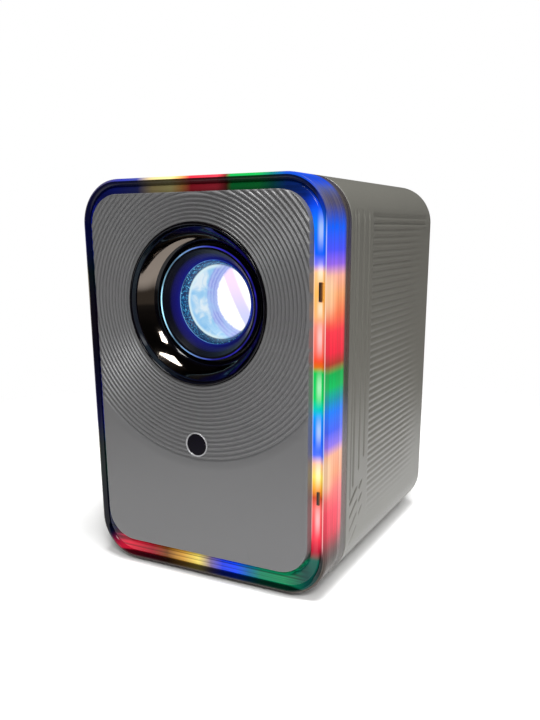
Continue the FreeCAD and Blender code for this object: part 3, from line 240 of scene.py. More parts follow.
def metal(name, colour, roughness, lines=(1, 1, 1), line_mm=0.6):
    """Bare, plated or anodised metal; lines stretches the noise along the brushing."""
    new_material(name)
    streak = noise(1.0 / (line_mm * MM), stretch=lines, detail=3.0)
    return surfaced({
        "Base Color": colour, "Metallic": 1.0, "Normal": relief(streak, 0.05, 0.05),
        "Roughness": between(streak, 0.3, 0.7, roughness - 0.06, roughness + 0.08)})


def circuit_board(name, lacquer, track):
    """Lacquered glass fibre with copper tracks under the lacquer."""
    new_material(name)
    tracks = add("TexBrick", {"Vector": own_space(), "Scale": 160.0, "Color1": lacquer, "Color2": track,
                              "Mortar": lacquer, "Mortar Size": 0.03})
    return surfaced({"Base Color": tracks["Color"], "IOR": 1.5, "Roughness": 0.3, "Coat Weight": 0.4})


ZINC_STEEL = metal("zinc plated steel", "#b4b4b6", 0.32)
BLACK_STEEL = metal("black oxide steel", "#2a2a2c", 0.4)
RAW_ALUMINIUM = metal("extruded aluminium", "#c9cacc", 0.35, lines=(1, 1, 0.05))
TURNED_BRASS = metal("turned brass", "#c8a45c", 0.25)
NICKEL = metal("nickel plated steel", "#c4c2bd", 0.22)
GREEN_BOARD = circuit_board("solder mask, green", "#0d3a20", "#155a33")
STRIP_BOARD = circuit_board("solder mask, white", "#d8d8d4", "#c9c9c2")
PAPER_CONE = moulded_plastic("pressed paper", "#2b2a29", 0.85, grain_mm=1.2, bump=0.5)
print("metals and boards ready")

# %% [markdown]
# ## Clear and optical materials
#
# Acrylic and coated glass are see-through, so most of their look is what lies
# behind them. They get a real IOR and a faint change in roughness.

# %% Clear materials


def clear_material(name, tint, roughness, ior):
    """A see-through finish with faint wipe marks in its roughness."""
    new_material(name)
    wipe = noise(40.0, detail=3.0)
    return surfaced({
        "Base Color": tint, "IOR": ior, "Transmission Weight": 1.0,
        "Roughness": between(wipe, 0.4, 0.8, roughness, roughness + 0.06)})


OPTICAL_GLASS = clear_material("coated optical glass", "#eaf3f7", 0.01, 1.52)
CLEAR_ACRYLIC = clear_material("clear acrylic sheet", "#f3f6f8", 0.03, 1.49)
print("clear materials ready")

# %% [markdown]
# ## Rounded rectangles
#
# The body, the ring and the front panel are all rounded rectangles seen from the
# front. One function walks round such an outline and gives the same number of
# points whatever its size, so that outlines of different sizes can be joined
# into a skin, station by station.

# %% Rounded outline and skins
CENTRE_Z = 117.0
FRONT_Y = -94.0


def outline_steps(side_count, edge_count, corner_count):
    """Where the outline's points lie: (straight or corner number, fraction)."""
    steps = []
    counts = (side_count, edge_count, side_count, edge_count)
    for part in range(4):
        steps += [(2 * part, i / counts[part]) for i in range(counts[part])]
        steps += [(2 * part + 1, i / corner_count) for i in range(corner_count)]
    return steps


def outline_point(half_wide, half_tall, corner, step):
    """One point of the outline and its outward direction; part 0 climbs the right side."""
    part, share = step
    flat_x = half_wide - corner
    flat_z = half_tall - corner
    quarter = part // 2
    if part % 2 == 0:
        spots = ((half_wide, -flat_z + 2 * flat_z * share), (flat_x - 2 * flat_x * share, half_tall),
                 (-half_wide, flat_z - 2 * flat_z * share), (-flat_x + 2 * flat_x * share, -half_tall))
        angle = quarter * math.pi / 2
        return spots[quarter], (math.cos(angle), math.sin(angle))
    centre = ((flat_x, flat_z), (-flat_x, flat_z), (-flat_x, -flat_z), (flat_x, -flat_z))[quarter]
    angle = (quarter + share) * math.pi / 2
    away = (math.cos(angle), math.sin(angle))
    return (centre[0] + corner * away[0], centre[1] + corner * away[1]), away


def new_object(name, data):
    """A new object of the scene that shows a mesh, a lamp or a camera."""
    thing = bpy.data.objects.new(name, data)
    bpy.context.scene.collection.objects.link(thing)
    return thing


def make_piece(name, points, faces, material, smooth=True):
    """A mesh object from points in millimetres."""
    mesh = bpy.data.meshes.new(name)
    mesh.from_pydata([[c * MM for c in p] for p in points], [], faces)
    mesh.polygons.foreach_set("use_smooth", [smooth] * len(mesh.polygons))
    mesh.materials.append(material)
    mesh.update()
    print(name, len(points), "points,", len(faces), "faces")
    return new_object(name, mesh)


def second_finish(piece, material, around, rows):
    """Gives the faces in some rows of a grid their own finish."""
    piece.data.materials.append(material)
    for face in piece.data.polygons:
        if face.index // around in rows:
            face.material_index = 1


def grid_faces(rows, around, closed=True):
    """Quads between neighbouring rows of points; closed joins the last row to the first."""
    faces = []
    for row in range(rows if closed else rows - 1):
        below, above = row * around, (row + 1) % rows * around
        for i in range(around):
            j = (i + 1) % around
            faces.append((below + i, above + i, above + j, below + j))
    return faces


def skin(name, steps, stations, material):
    """A closed skin over stations of (half wide, half tall, corner, y)."""
    points = []
    for half_wide, half_tall, corner, y in stations:
        for step in steps:
            (x, z), _ = outline_point(half_wide, half_tall, corner, step)
            points.append((x, y, z + CENTRE_Z))
    return make_piece(name, points, grid_faces(len(stations), len(steps)), material)


def inset(half_wide, half_tall, corner, amount, y):
    """A station set in from an outline by one amount all round."""
    return (half_wide - amount, half_tall - amount, max(corner - amount, 0.2), y)


print("outline tools ready")

# %% [markdown]
# ## The ribbed shell
#
# The side walls carry long soft ribs, 3.85 mm apart, that fade out towards the
# back, and a strip of upright grooves just behind the light ring that ends in
# short slanting dashes. Real ribs are cut into the mould and catch the light on
# every crest, so they are made as real relief: the skin's points are pushed in
# by a height function of where they lie on the wall.

# %% The shell's relief
HALF_WIDE, HALF_TALL, CORNER = 78.0, 115.0, 25.0
RIB_PITCH = 3.85
RIB_LOW, RIB_HIGH = 30.0, 212.6
RIB_START, RIB_END = 66.0, 181.0
RIB_DEEP = 0.75
SHELL_FRONT = FRONT_Y + 34.0
# Each upright groove: how far back it is, its half width, its low end and its depth.
GROOVES = ((39.2, 0.9, -60.0, 0.7), (43.8, 1.3, -56.0, 1.35), (52.2, 1.2, -53.0, 1.3),
           (60.2, 1.4, -52.0, 1.25))
DASHES, DASH_STEP, DASH_HALF_WIDTH = 4, 8.2, 1.2
# The relief is on the sides alone: it starts in the corner and is full near the wall.
RELIEF_FROM, RELIEF_FULL = 68.0, 76.5


def smooth_step(low, high, value):
    share = min(1.0, max(0.0, (value - low) / (high - low)))
    return share * share * (3 - 2 * share)


def bump_at(value, centre, half_width):
    """One soft groove: 1 at its centre and 0 outside its half width."""
    share = abs(value - centre) / half_width
    return 0.0 if share >= 1 else 0.5 + 0.5 * math.cos(math.pi * share)


def side_ribs(back, z):
    """Depth of the long ribs at a distance back from the front."""
    if not RIB_START < back < RIB_END or not RIB_LOW - 3 < z < RIB_HIGH + 1:
        return 0.0
    wave = 0.5 + 0.5 * math.cos(2 * math.pi * (z - RIB_LOW) / RIB_PITCH)
    top_pair = smooth_step(RIB_HIGH - 9.5, RIB_HIGH - 8.0, z)
    fade = 1 - smooth_step(128.0 + 40 * top_pair, 176.0, back)
    start = smooth_step(66.6, 68.4, back)
    low_end = smooth_step(RIB_LOW - 2, RIB_LOW + 26, z)
    height_gain = 0.62 + 0.55 * smooth_step(70, 190, z)
    return RIB_DEEP * (0.9 + 0.3 * top_pair) * wave ** 1.3 * fade * start * low_end * height_gain


def strip_grooves(back, z):
    """Depth of the upright grooves behind the light ring."""
    if not 36.0 < back < 64.0:
        return 0.0
    height = z - CENTRE_Z
    top = 1 - smooth_step(94.5, 97.0, height)
    depth = 0.0
    for place, half_width, low_end, strength in GROOVES:
        slant = low_end + 0.66 * (back - 48.0)
        end = smooth_step(slant - 1.0, slant + 1.5, height)
        depth = max(depth, strength * bump_at(back, place, half_width) * end * top)
    return depth


def dash(back, height, start, end):
    """Depth of one slanting dash from its start to its end, in (back, height)."""
    run = (end[0] - start[0], end[1] - start[1])
    long = math.hypot(*run)
    along = ((back - start[0]) * run[0] + (height - start[1]) * run[1]) / long
    across = ((back - start[0]) * -run[1] + (height - start[1]) * run[0]) / long
    if not -1.0 < along < long + 1.0:
        return 0.0
    ends = smooth_step(-1, 1, along) * (1 - smooth_step(long - 1, long + 1, along))
    return bump_at(across, 0.0, DASH_HALF_WIDTH) * ends


def slanting_dashes(back, z):
    """Depth of the rows of long and short dashes below the upright grooves."""
    height = z - CENTRE_Z
    if not 36.0 < back < 62.0 or height > -54.0:
        return 0.0
    depth = 0.0
    for row in range(DASHES):
        drop = DASH_STEP * row
        strength = 0.7 - 0.13 * row
        long_dash = dash(back, height, (38.8, -71.7 - drop + 3), (50.5, -63.7 - drop + 3))
        depth = max(depth, strength * long_dash)
        if row < DASHES - 1:
            short_dash = dash(back, height, (53.6, -62.8 - drop), (58.6, -58.6 - drop))
            depth = max(depth, strength * short_dash)
    return depth


def shell_sink(x, y, z):
    """How far a point of the shell is pushed in from the plain outline."""
    if abs(x) < RELIEF_FROM:
        return 0.0
    back = y - FRONT_Y
    turn = smooth_step(RELIEF_FROM, RELIEF_FULL, abs(x))
    return turn * max(side_ribs(back, z), strip_grooves(back, z), slanting_dashes(back, z))


print("ribs every", RIB_PITCH, "mm and", len(GROOVES), "upright grooves on each side")

# %% [markdown]
# Openings go through the shell's outer and inner walls and get side walls of their
# own: the disc slot, the seat of the control pad, the air slots underneath, the
# sound slots in the left side and the hole of the tripod insert. The grid's lines
# lie on their edges. The tripod hole is round, so the grid's squares are bent to
# circles around it.

# %% The shell's openings
TOP, LEFT, BOTTOM = 2, 4, 6
WALL = 3.0
AIR_SLOTS = [8.0 * (i - 4) for i in range(9)]
SOUND_SLOTS = [RIB_LOW + RIB_PITCH * (i + 11) for i in range(9)]
INSERT_RADIUS = 6.2
INSERT_LINES = (0.0, 2.0, 4.0, INSERT_RADIUS, 7.6, 9.6)
INNER_SIDE, INNER_STRAIGHT = 76.2, 85.0
GAP = 0.3


def seat_of(box, axis):
    """Where the opening for a piece starts and ends, along its side and then in y."""
    low, high = box
    return tuple(edge for k in (axis, 1) for edge in (low[k] / MM - GAP, high[k] / MM + GAP))


# Each opening: its side, from and to along that side, and from and to in y.
OPENINGS = [(LEFT, *seat_of(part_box("tray_front"), 2)), (TOP, *seat_of(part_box("control_pad"), 0)),
            (BOTTOM, -INSERT_RADIUS, INSERT_RADIUS, -INSERT_RADIUS, INSERT_RADIUS)]
OPENINGS += [(BOTTOM, x - 1.5, x + 1.5, y - 13.0, y + 13.0) for x in AIR_SLOTS for y in (-38.0, 38.0)]
OPENINGS += [(LEFT, z - 0.6, z + 0.6, 0.0, 32.0) for z in SOUND_SLOTS]
ROUND_LINES = sorted({side * line for line in INSERT_LINES for side in (-1, 1)})
CROSS_LINES = sorted({y for opening in OPENINGS for y in opening[3:]} | set(ROUND_LINES))


def spread(low, high, count):
    return [low + (high - low) * i / count for i in range(count)]


def shell_rows():
    """Distances back from the front, closest together where the relief is fine."""
    rows = spread(35.0, 62.5, 46) + spread(62.5, 66.5, 5) + spread(66.5, 69.0, 6)
    rows += spread(69.0, 168.0, 26) + spread(168.0, 179.0, 7)
    edges = [y - FRONT_Y for y in CROSS_LINES]
    clear = [row for row in rows if min(abs(row - edge) for edge in edges) > 0.4]
    return sorted([row for row in clear if abs(row + FRONT_Y) > INSERT_LINES[-1]] + edges)


def along_side(part, step):
    """How far along a side an outline point lies, or None where it is on another side."""
    (x, z), _ = outline_point(HALF_WIDE, HALF_TALL, CORNER, step)
    on_side = {TOP: z > HALF_TALL - WALL, LEFT: x < WALL - HALF_WIDE,
               BOTTOM: z < WALL - HALF_TALL}[part]
    if not on_side:
        return None
    return z + CENTRE_Z if part == LEFT else x


def step_at(part, value):
    """The outline point at a place on a side, or a little way into the corner beyond it."""
    flat = HALF_TALL - CORNER if part == LEFT else HALF_WIDE - CORNER
    signed = value - CENTRE_Z if part == LEFT else value
    forwards = 1 if part == BOTTOM else -1
    if abs(signed) <= flat:
        return (part, 0.5 + 0.5 * forwards * signed / flat)
    turn = math.asin((abs(signed) - flat) / CORNER) / (math.pi / 2)
    return (part + 1, turn) if signed * forwards > 0 else (part - 1, 1 - turn)


def shell_steps():
    """Outline points, with some exactly at the openings' edges."""
    wanted = {step_at(part, value) for part, low, high, _, _ in OPENINGS for value in (low, high)}
    wanted |= {step_at(BOTTOM, x) for x in ROUND_LINES}
    kept = [s for s in outline_steps(276, 12, 30)
            if not any(s[0] == w[0] and abs(s[1] - w[1]) < 0.0012 for w in wanted)]
    return sorted(kept + list(wanted))


def sink_outer_only(x, y, z):
    """The relief, which leaves the sides of the inner wall plain."""
    inner = abs(x) <= INNER_SIDE and abs(z - CENTRE_Z) <= INNER_STRAIGHT
    return 0.0 if inner else shell_sink(x, y, z)


def bend_to_circle(point):
    """Turns the squares of the grid round the tripod insert into circles."""
    x, y, z = point
    square = max(abs(x), abs(y))
    if z > 8.0 or not 0 < square < INSERT_LINES[-1]:
        return point
    pull = 1 - smooth_step(INSERT_RADIUS, INSERT_LINES[-1], square)
    scale = 1 - pull + pull * square / math.hypot(x, y)
    return (x * scale, y * scale, z)


def span(values, low, high):
    """The indices of the values that lie from low to high."""
    return [k for k, value in enumerate(values)
            if value is not None and low - 0.01 < value < high + 0.01]


def opened_skin(name, inner, edge, outer, back, material):
    """A closed skin with openings through its outer and inner walls."""
    stations = inner + edge + outer + back
    steps = shell_steps()
    around = len(steps)
    points = []
    for half_wide, half_tall, corner, y in stations:
        for step in steps:
            (x, z), away = outline_point(half_wide, half_tall, corner, step)
            z += CENTRE_Z
            inward = sink_outer_only(x, y, z)
            points.append(bend_to_circle((x - away[0] * inward, y, z - away[1] * inward)))
    first_outer = len(inner) + len(edge)
    removed, walls = set(), []

    def at(row, i):
        return row * around + i

    for part, low, high, front, rear in OPENINGS:
        across = span([along_side(part, s) for s in steps], low, high)
        outside = [first_outer + k for k in span([station[3] for station in outer], front, rear)]
        inside = span([station[3] for station in inner], front, rear)
        removed |= {(row, i) for row in outside[:-1] + inside[:-1] for i in across[:-1]}
        for i in across[:-1]:
            j = i + 1
            walls.append((at(outside[0], j), at(outside[0], i), at(inside[-1], i), at(inside[-1], j)))
            walls.append((at(outside[-1], i), at(outside[-1], j), at(inside[0], j), at(inside[0], i)))
        for i, turn in ((across[0], 1), (across[-1], -1)):
            if len(outside) == len(inside):
                pairs = list(zip(outside, inside[::-1]))
                for (a, c), (b, d) in zip(pairs, pairs[1:]):
                    walls.append((at(a, i), at(b, i), at(d, i), at(c, i))[::turn])
            else:
                walls.append(tuple(at(row, i) for row in outside + inside)[::turn])
    faces = [face for k, face in enumerate(grid_faces(len(stations), around))
             if divmod(k, around) not in removed]
    return make_piece(name, points, faces + walls, material)


print(len(OPENINGS), "openings in the shell")

# %% [markdown]
# The shell is one skin that goes out along an inner wall, over the front edge,
# back along the outer wall, round the soft back edge and into the seat of the
# rear cover.

# %% The shell
BODY = (HALF_WIDE, HALF_TALL, CORNER)
BACK, BACK_ROUND, BACK_INSIDE = 188.0, 9.0, 181.0
SEAT, SEAT_FLOOR, SEAT_LIP = (68.0, 104.0, 14.0), 184.5, 4.0
inner_wall = [inset(*BODY, WALL, y) for y in [FRONT_Y + BACK_INSIDE] + CROSS_LINES[::-1] + [SHELL_FRONT]]
front_edge = [inset(*BODY, amount, SHELL_FRONT + y) for amount, y in ((0.5, 0.0), (0.12, 0.15), (0.0, 0.5))]
outer_wall = [inset(*BODY, 0.0, FRONT_Y + back) for back in shell_rows()]
turns = [i / 10 * math.pi / 2 for i in range(11)]
back_edge = [inset(*BODY, BACK_ROUND * (1 - math.cos(turn)),
                   FRONT_Y + BACK - BACK_ROUND + BACK_ROUND * math.sin(turn)) for turn in turns]
back_edge += [inset(*SEAT, amount, FRONT_Y + back)
              for amount, back in ((-0.3, BACK), (0.0, BACK - 0.3), (0.0, SEAT_FLOOR),
                                   (SEAT_LIP, SEAT_FLOOR), (SEAT_LIP, BACK_INSIDE))]
shell = opened_skin("shell_ribbed", inner_wall, front_edge, outer_wall, back_edge, WARM_GREY)
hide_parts("main_shell")
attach(shell, "housing")

# %% [markdown]
# ## The front panel
#
# About eighteen rings ripple out from the lens across the panel, closer together
# near the lens. A grid that fans out from the lens axis follows them exactly, so
# each ring is a smooth wave. Every spoke of the fan ends where it meets the
# panel's rounded edge, and then turns back along the panel's rim.

# %% The rippled front panel
LENS_Z = CENTRE_Z + 46.8
PANEL = (68.7, 103.5, 18.4)
PANEL_LIFT = 3.05
PANEL_FACE = FRONT_Y + 0.2
PANEL_HOLE = 44.5
WINDOW, WINDOW_HOLE = (-1.5, CENTRE_Z - 32.2), 6.9
RIPPLE_FIRST, RIPPLE_STEP, RIPPLE_GROWTH = 47.4, 2.08, 0.0206
RIPPLES = 17
RIPPLE_DEEP = 0.96
PLAIN_RADII = [94.0, 104.0, 118.0, 134.0, 150.0]
SPOKES, PER_RIPPLE, HALVINGS = 640, 8, 34
# How far out each line of the rounded rim lies from the outline, and how far back.
RIM_LINES = [(-0.9, 0.0), (-0.55, 0.12), (-0.25, 0.33), (-0.06, 0.6), (0.0, 0.95), (0.0, 29.0)]


def ripple_number(radius):
    """Which ring a radius lies on; whole numbers are crests."""
    rise = RIPPLE_STEP ** 2 + 4 * RIPPLE_GROWTH * (radius - RIPPLE_FIRST)
    return (-RIPPLE_STEP + math.sqrt(rise)) / (2 * RIPPLE_GROWTH)


def ripple_depth(radius):
    number = ripple_number(radius)
    if number >= RIPPLES:
        return 0.0
    return RIPPLE_DEEP * (0.5 - 0.5 * math.cos(2 * math.pi * number)) ** 0.9


def panel_distance(x, z):
    """Signed distance from the panel's outline, negative inside."""
    half_wide, half_tall, corner = PANEL
    qx = abs(x) - half_wide + corner
    qz = abs(z - CENTRE_Z - PANEL_LIFT) - half_tall + corner
    return math.hypot(max(qx, 0), max(qz, 0)) + min(max(qx, qz), 0) - corner


def reach(angle, distance):
    """Radius at which a spoke from the lens axis reaches a distance from the outline."""
    low, high = PANEL_HOLE - 0.5, 240.0
    for _ in range(HALVINGS):
        middle = (low + high) / 2
        inside = panel_distance(middle * math.cos(angle), LENS_Z + middle * math.sin(angle)) < distance
        low, high = (middle, high) if inside else (low, middle)
    return low


def rippled_panel():
    """Spokes from the lens out to the rim; one wedge of a face closes each uneven gap."""
    radii = [PANEL_HOLE]
    for i in range(-PER_RIPPLE, RIPPLES * PER_RIPPLE + 1):
        k = i / PER_RIPPLE
        radii.append(RIPPLE_FIRST + RIPPLE_STEP * k + RIPPLE_GROWTH * k * k)
    radii = [r for r in radii if r >= PANEL_HOLE] + PLAIN_RADII
    points, columns, edges = [], [], []
    for s in range(SPOKES):
        angle = 2 * math.pi * s / SPOKES
        rim_radii = [reach(angle, out) for out, _ in RIM_LINES]
        inner = [r for r in radii if r < rim_radii[0] - 0.15]
        spoke = [(r, ripple_depth(r)) for r in inner]
        spoke += [(r, max(ripple_depth(r), back)) for r, (_, back) in zip(rim_radii, RIM_LINES)]
        numbers = list(range(len(points), len(points) + len(spoke)))
        columns.append(numbers[:len(inner)])
        edges.append(numbers[len(inner):])
        for r, back in spoke:
            points.append((r * math.cos(angle), PANEL_FACE + back, LENS_Z + r * math.sin(angle)))
    faces = []
    for s in range(SPOKES):
        following = (s + 1) % SPOKES
        a, b, ea, eb = columns[s], columns[following], edges[s], edges[following]
        shared = min(len(a), len(b))
        for i in range(shared - 1):
            face = (a[i], a[i + 1], b[i + 1], b[i])
            middle = [sum(points[k][c] for k in face) / 4 for c in (0, 2)]
            if math.dist(middle, WINDOW) > WINDOW_HOLE:
                faces.append(face)
        faces.append(tuple(a[shared - 1:] + [ea[0], eb[0]] + b[shared - 1:][::-1]))
        for i in range(len(RIM_LINES) - 1):
            faces.append((ea[i], ea[i + 1], eb[i + 1], eb[i]))
    return make_piece("panel_rippled", points, faces, MID_GREY)


panel = rippled_panel()
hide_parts("front_panel")
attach(panel, "housing")

# %% [markdown]
# ## The light ring
#
# Coloured lamps behind an opal light guide shine into a clear frame round the
# panel. The plastic itself looks lit: each lamp fills a stretch of it with one
# colour that melts into the next. The colours are set out by position, one ramp
# for each side, and mixed at the corners. On the sides the guide and the outer
# wall differ a little, so they have a ramp each.

# %% The lamps' colours
GUIDE_RIGHT = [(12, "#063c38"), (26, "#0a5a4c"), (31, "#b01c34"), (40, "#f83c50"), (56, "#ff6a66"),
               (63, "#c84a28"), (68, "#f0a030"), (75, "#ffe060"), (82, "#ffc090"), (87, "#4a6cf4"),
               (94, "#1466ff"), (107, "#0a90ff"), (113, "#00c8b0"), (118, "#0ad060"), (132, "#10c050"),
               (135, "#d86a10"), (138, "#f04a28"), (143, "#ff6a5c"), (156, "#ff8a78"), (161, "#ffb070"),
               (172, "#ffb85c"), (183, "#ffc488"), (187, "#7a74f8"), (192, "#0a5cff"), (206, "#0a78ff"),
               (216, "#0848f0"), (226, "#0a2cb8")]
OUTER_RIGHT = [(14, "#44343a"), (30, "#a02c40"), (40, "#e83850"), (54, "#ff4c62"), (66, "#ff7c78"),
               (76, "#ffa67c"), (86, "#ffb490"), (92, "#9274f0"), (100, "#3c60fa"), (110, "#0a7cff"),
               (117, "#0a9ab0"), (124, "#0ac060"), (131, "#0cb050"), (136, "#b03c2c"), (142, "#f42c44"),
               (153, "#ff3c4c"), (162, "#ff7a50"), (172, "#ffaa70"), (181, "#ffb49c"), (187, "#9868ec"),
               (194, "#4a54ff"), (205, "#0a62ff"), (216, "#2a4ed8"), (224, "#5c6ca0")]
TOP_SIDE = [(-74, "#0a1478"), (-54, "#1c2ab0"), (-38, "#3c469c"), (-28, "#e8d090"), (-16, "#fff0a0"),
            (-9, "#ffb060"), (-3, "#f02c40"), (13, "#ff4056"), (19, "#802c20"), (22, "#0cb050"),
            (38, "#10b450"), (46, "#0a7a74"), (54, "#0a4cc0"), (72, "#0a4cf0")]
BOTTOM_SIDE = [(-72, "#c01c3c"), (-58, "#e0203c"), (-40, "#a01828"), (-29, "#7a4414"), (-17, "#d8a040"),
               (-6, "#f8e068"), (3, "#7a6a98"), (11, "#2040e8"), (20, "#0c48ff"), (29, "#0a68a0"),
               (37, "#0a8460"), (52, "#0a8c58"), (66, "#0a5048")]
LEFT_SIDE = [(20, "#0a1038"), (40, "#0a1c48"), (58, "#0a5440"), (74, "#0a4c48"), (90, "#0a18a8"),
             (104, "#10188c"), (128, "#0c0c50"), (150, "#2c0c30"), (166, "#1c1040"), (180, "#063c3c"),
             (196, "#1024a0"), (216, "#0c1c98")]


def side_ramp(value, colours):
    """A ramp over one side; its places are in millimetres along that side."""
    first, last = colours[0][0], colours[-1][0]
    share = add("MapRange", {0: value, 1: first, 2: last})[0]
    stops = [((place - first) / (last - first), colour) for place, colour in colours]
    return ramp(share, stops, "LINEAR")


def place_in_mm():
    """A point's x, y and z in the piece's own space, in millimetres."""
    return add("SeparateXYZ", {0: own_space((1 / MM, 1 / MM, 1 / MM))})


def ring_colours(right_side):
    """The colour of the light at a point of the ring, and the point's place in millimetres."""
    x, y, z = place_in_mm()
    right, left = side_ramp(z, right_side), side_ramp(z, LEFT_SIDE)
    top, bottom = side_ramp(x, TOP_SIDE), side_ramp(x, BOTTOM_SIDE)
    sides = mix_colours(between(x, -10, 10), left, right)
    ends = mix_colours(between(z, 100, 130), bottom, top)
    from_side = maths("SUBTRACT", HALF_WIDE, away_from(x))
    from_end = maths("SUBTRACT", HALF_TALL, away_from(z, CENTRE_Z))
    nearer = maths("SUBTRACT", from_side, from_end)
    return mix_colours(between(nearer, -9, 9), sides, ends), (x, y, z)


def stretch_of(value, rise, fall):
    """1 over a stretch of a value and 0 outside it, with its two soft ends at rise and fall."""
    return product(between(value, *rise), between(value, *fall, 1.0, 0.0))


def streaks(size_mm, low, high):
    """Long streaks that run round the ring: fine across its depth, slow along it."""
    across, along = 1.0 / (size_mm * MM), 3.0
    return between(noise(1.0, (along, across, along)), 0.35, 0.65, low, high)


print(len(GUIDE_RIGHT), "colour stops on the guide's right side")

# %% [markdown]
# Three finishes make up the ring. Its outer wall glows down to a quite sharp
# line some 25 mm back, and is smoky beyond it, where the lamps don't reach. Its
# lip is dark and glossy; on the right the lamps' colours are painted on it by
# position, with a painted highlight as a thin white line on its crest. The opal
# guide glows all over, with a whitish core in front of each lamp. All places in
# these recipes are millimetres in the object's own frame.

# %% Lit plastics
LIGHT_END = (24.0, 27.0)
# The wall in front of the two orange lamps is pale over these heights.
ORANGE_ZONES = (((155, 168), (176, 186)), ((60, 72), (80, 90)))


def outer_glow():
    new_material("clear acrylic, lit")
    colour, (x, y, z) = ring_colours(OUTER_RIGHT)
    back = maths("SUBTRACT", y, FRONT_Y)
    reach_back = between(back, *LIGHT_END, 1.0, 0.05)
    high_end = between(z, 203, 219, 1.0, 0.10)
    on_side = between(away_from(x), 69.0, 76.5)
    high = mix_colours(on_side, "#ffffff", high_end)
    low_end = between(z, 22, 46)
    lit_side = between(x, -60, -45, 0.35, 1.0)
    power = product(reach_back, streaks(2.0, 0.74, 1.06), low_end, lit_side, high)
    smoke = mix_colours(streaks(0.9, 0.0, 1.0), "#38322f", "#56504c")
    zones = [stretch_of(z, *ends) for ends in ORANGE_ZONES]
    pale = product(between(back, 4.5, 17.0, 0.5, 0.0), maths("MAXIMUM", *zones))
    over_top = between(z, 228.5, 231.5, 1.0, 1.5)
    return surfaced({
        "Base Color": mix_colours(power, smoke, "#0b0c0f"), "Roughness": 0.16, "IOR": 1.49,
        "Specular IOR Level": 0.03, "Emission Color": mix_colours(pale, colour, "#ffeec0"),
        "Emission Strength": product(power, over_top)})


def dark_lip():
    new_material("clear acrylic, edge")
    colour, (x, _, z) = ring_colours(GUIDE_RIGHT)
    right = product(between(x, 69.5, 73.0), between(z, 26, 36), between(z, 200, 216, 1.0, 0.35))
    # Painted light on the lip: its glow is painted on the right side only, with a painted highlight as a
    # thin white line on its crest and a thin band of painted shade inside it.
    crest_highlight = stretch_of(x, (75.7, 76.1), (76.7, 77.1))
    shadow = stretch_of(x, (74.8, 75.2), (75.6, 75.9))
    painted_highlight = mix_colours(product(crest_highlight, 0.42), colour, "#ffffff")
    low = product(between(z, 6.0, 7.2), between(z, 12, 20, 0.75, 0.0))
    lit = add("MapRange", {0: maths("MAXIMUM", right, low), 3: 0.022, 4: 0.95})[0]
    dim = maths("SUBTRACT", 1.0, product(shadow, 0.25))
    return surfaced({
        "Base Color": mix_colours(0.04, "#010208", colour), "Roughness": 0.07, "IOR": 1.49,
        "Specular IOR Level": 0.2, "Emission Color": mix_colours(right, colour, painted_highlight),
        "Emission Strength": product(lit, dim)})


# The lamps on the right: how high each is, and how far its whitish core reaches.
LAMPS = ((203.0, 12.0), (183.0, 8.0), (165.0, 8.0), (149.6, 13.0), (124.0, 12.0), (100.0, 12.0),
         (77.0, 13.0), (50.0, 13.0))
BEAD_MIDDLE = 73.1


def opal_glow():
    new_material("opal light guide, lit")
    colour, (x, _, z) = ring_colours(GUIDE_RIGHT)
    core = 0.0
    for height, reach_mm in LAMPS:
        lamp = between(away_from(z, height), 0.0, reach_mm, 1.0, 0.0)
        core = maths("MAXIMUM", core, lamp)
    core = product(core, between(away_from(x, BEAD_MIDDLE), 0.5, 2.6, 1.0, 0.0))
    by_panel = product(stretch_of(x, (68.6, 68.8), (69.3, 69.8)), stretch_of(z, (34, 46), (186, 200)))
    pale = maths("MAXIMUM", product(core, 0.36), product(by_panel, 0.3))
    right = between(x, 60, 70)
    place_power = maths("MAXIMUM", right, between(z, 100, 130, 0.80, 0.40))
    ends = product(between(z, 212, 225, 1.0, 0.15), between(z, 4.0, 5.2, 0.06, 1.0))
    uneven = between(noise(1.0, (5.0, 500.0, 900.0)), 0.4, 0.62, 0.35, 1.15)
    lines = mix_colours(right, uneven, "#ffffff")
    in_core = add("MapRange", {0: core, 3: 1.0, 4: 1.12})[0]
    return surfaced({
        "Base Color": mix_colours(0.12, "#050608", colour), "Roughness": 0.2, "IOR": 1.49,
        "Specular IOR Level": 0.2, "Emission Color": mix_colours(pale, colour, "#ffffff"),
        "Emission Strength": product(place_power, ends, lines, in_core)})


OUTER_GLOW = outer_glow()
DARK_LIP = dark_lip()
OPAL_LIT = opal_glow()
print("ring finishes ready,", len(LAMPS), "lamps on the right")

# %% [markdown]
# The ring's section is a thin wall with a lip that is rounded on the outside.
# It is swept round the outline as a closed skin, and the lip's faces get their
# own finish. The opal guide fills the gap between the lip and the panel with a
# shallow bead.

# %% The ring
ring_steps = outline_steps(60, 36, 20)
ring_profile = [(0.0, 32.8), (0.0, 20.0), (0.0, 8.0), (0.04, 6.4), (0.22, 5.4), (0.6, 4.75), (1.1, 4.42),
                (1.5, 4.35), (2.0, 4.42), (2.8, 4.7), (3.6, 5.2), (4.2, 5.8), (4.5, 6.6), (4.5, 14.0),
                (2.6, 16.0), (2.6, 32.8)]
LIP_ROWS = range(7, 14)


def ring_section(profile):
    return [inset(*BODY, amount, FRONT_Y + back) for amount, back in profile]


ring = skin("ring_clear", ring_steps, ring_section(ring_profile), OUTER_GLOW)
second_finish(ring, DARK_LIP, len(ring_steps), LIP_ROWS)
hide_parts("light_ring")
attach(ring, "housing")

guide_profile = [(4.55, 26.2), (4.55, 6.4), (4.75, 5.8), (5.2, 5.4), (5.8, 5.2), (6.6, 5.1)]


def guide_stations():
    """The bead's outer half follows the ring and its inner half follows the panel."""
    by_panel = ((1.4, 5.2), (0.6, 5.4), (0.15, 5.9), (0.15, 26.2))
    return ring_section(guide_profile) + [inset(*PANEL, -out, FRONT_Y + back) for out, back in by_panel]


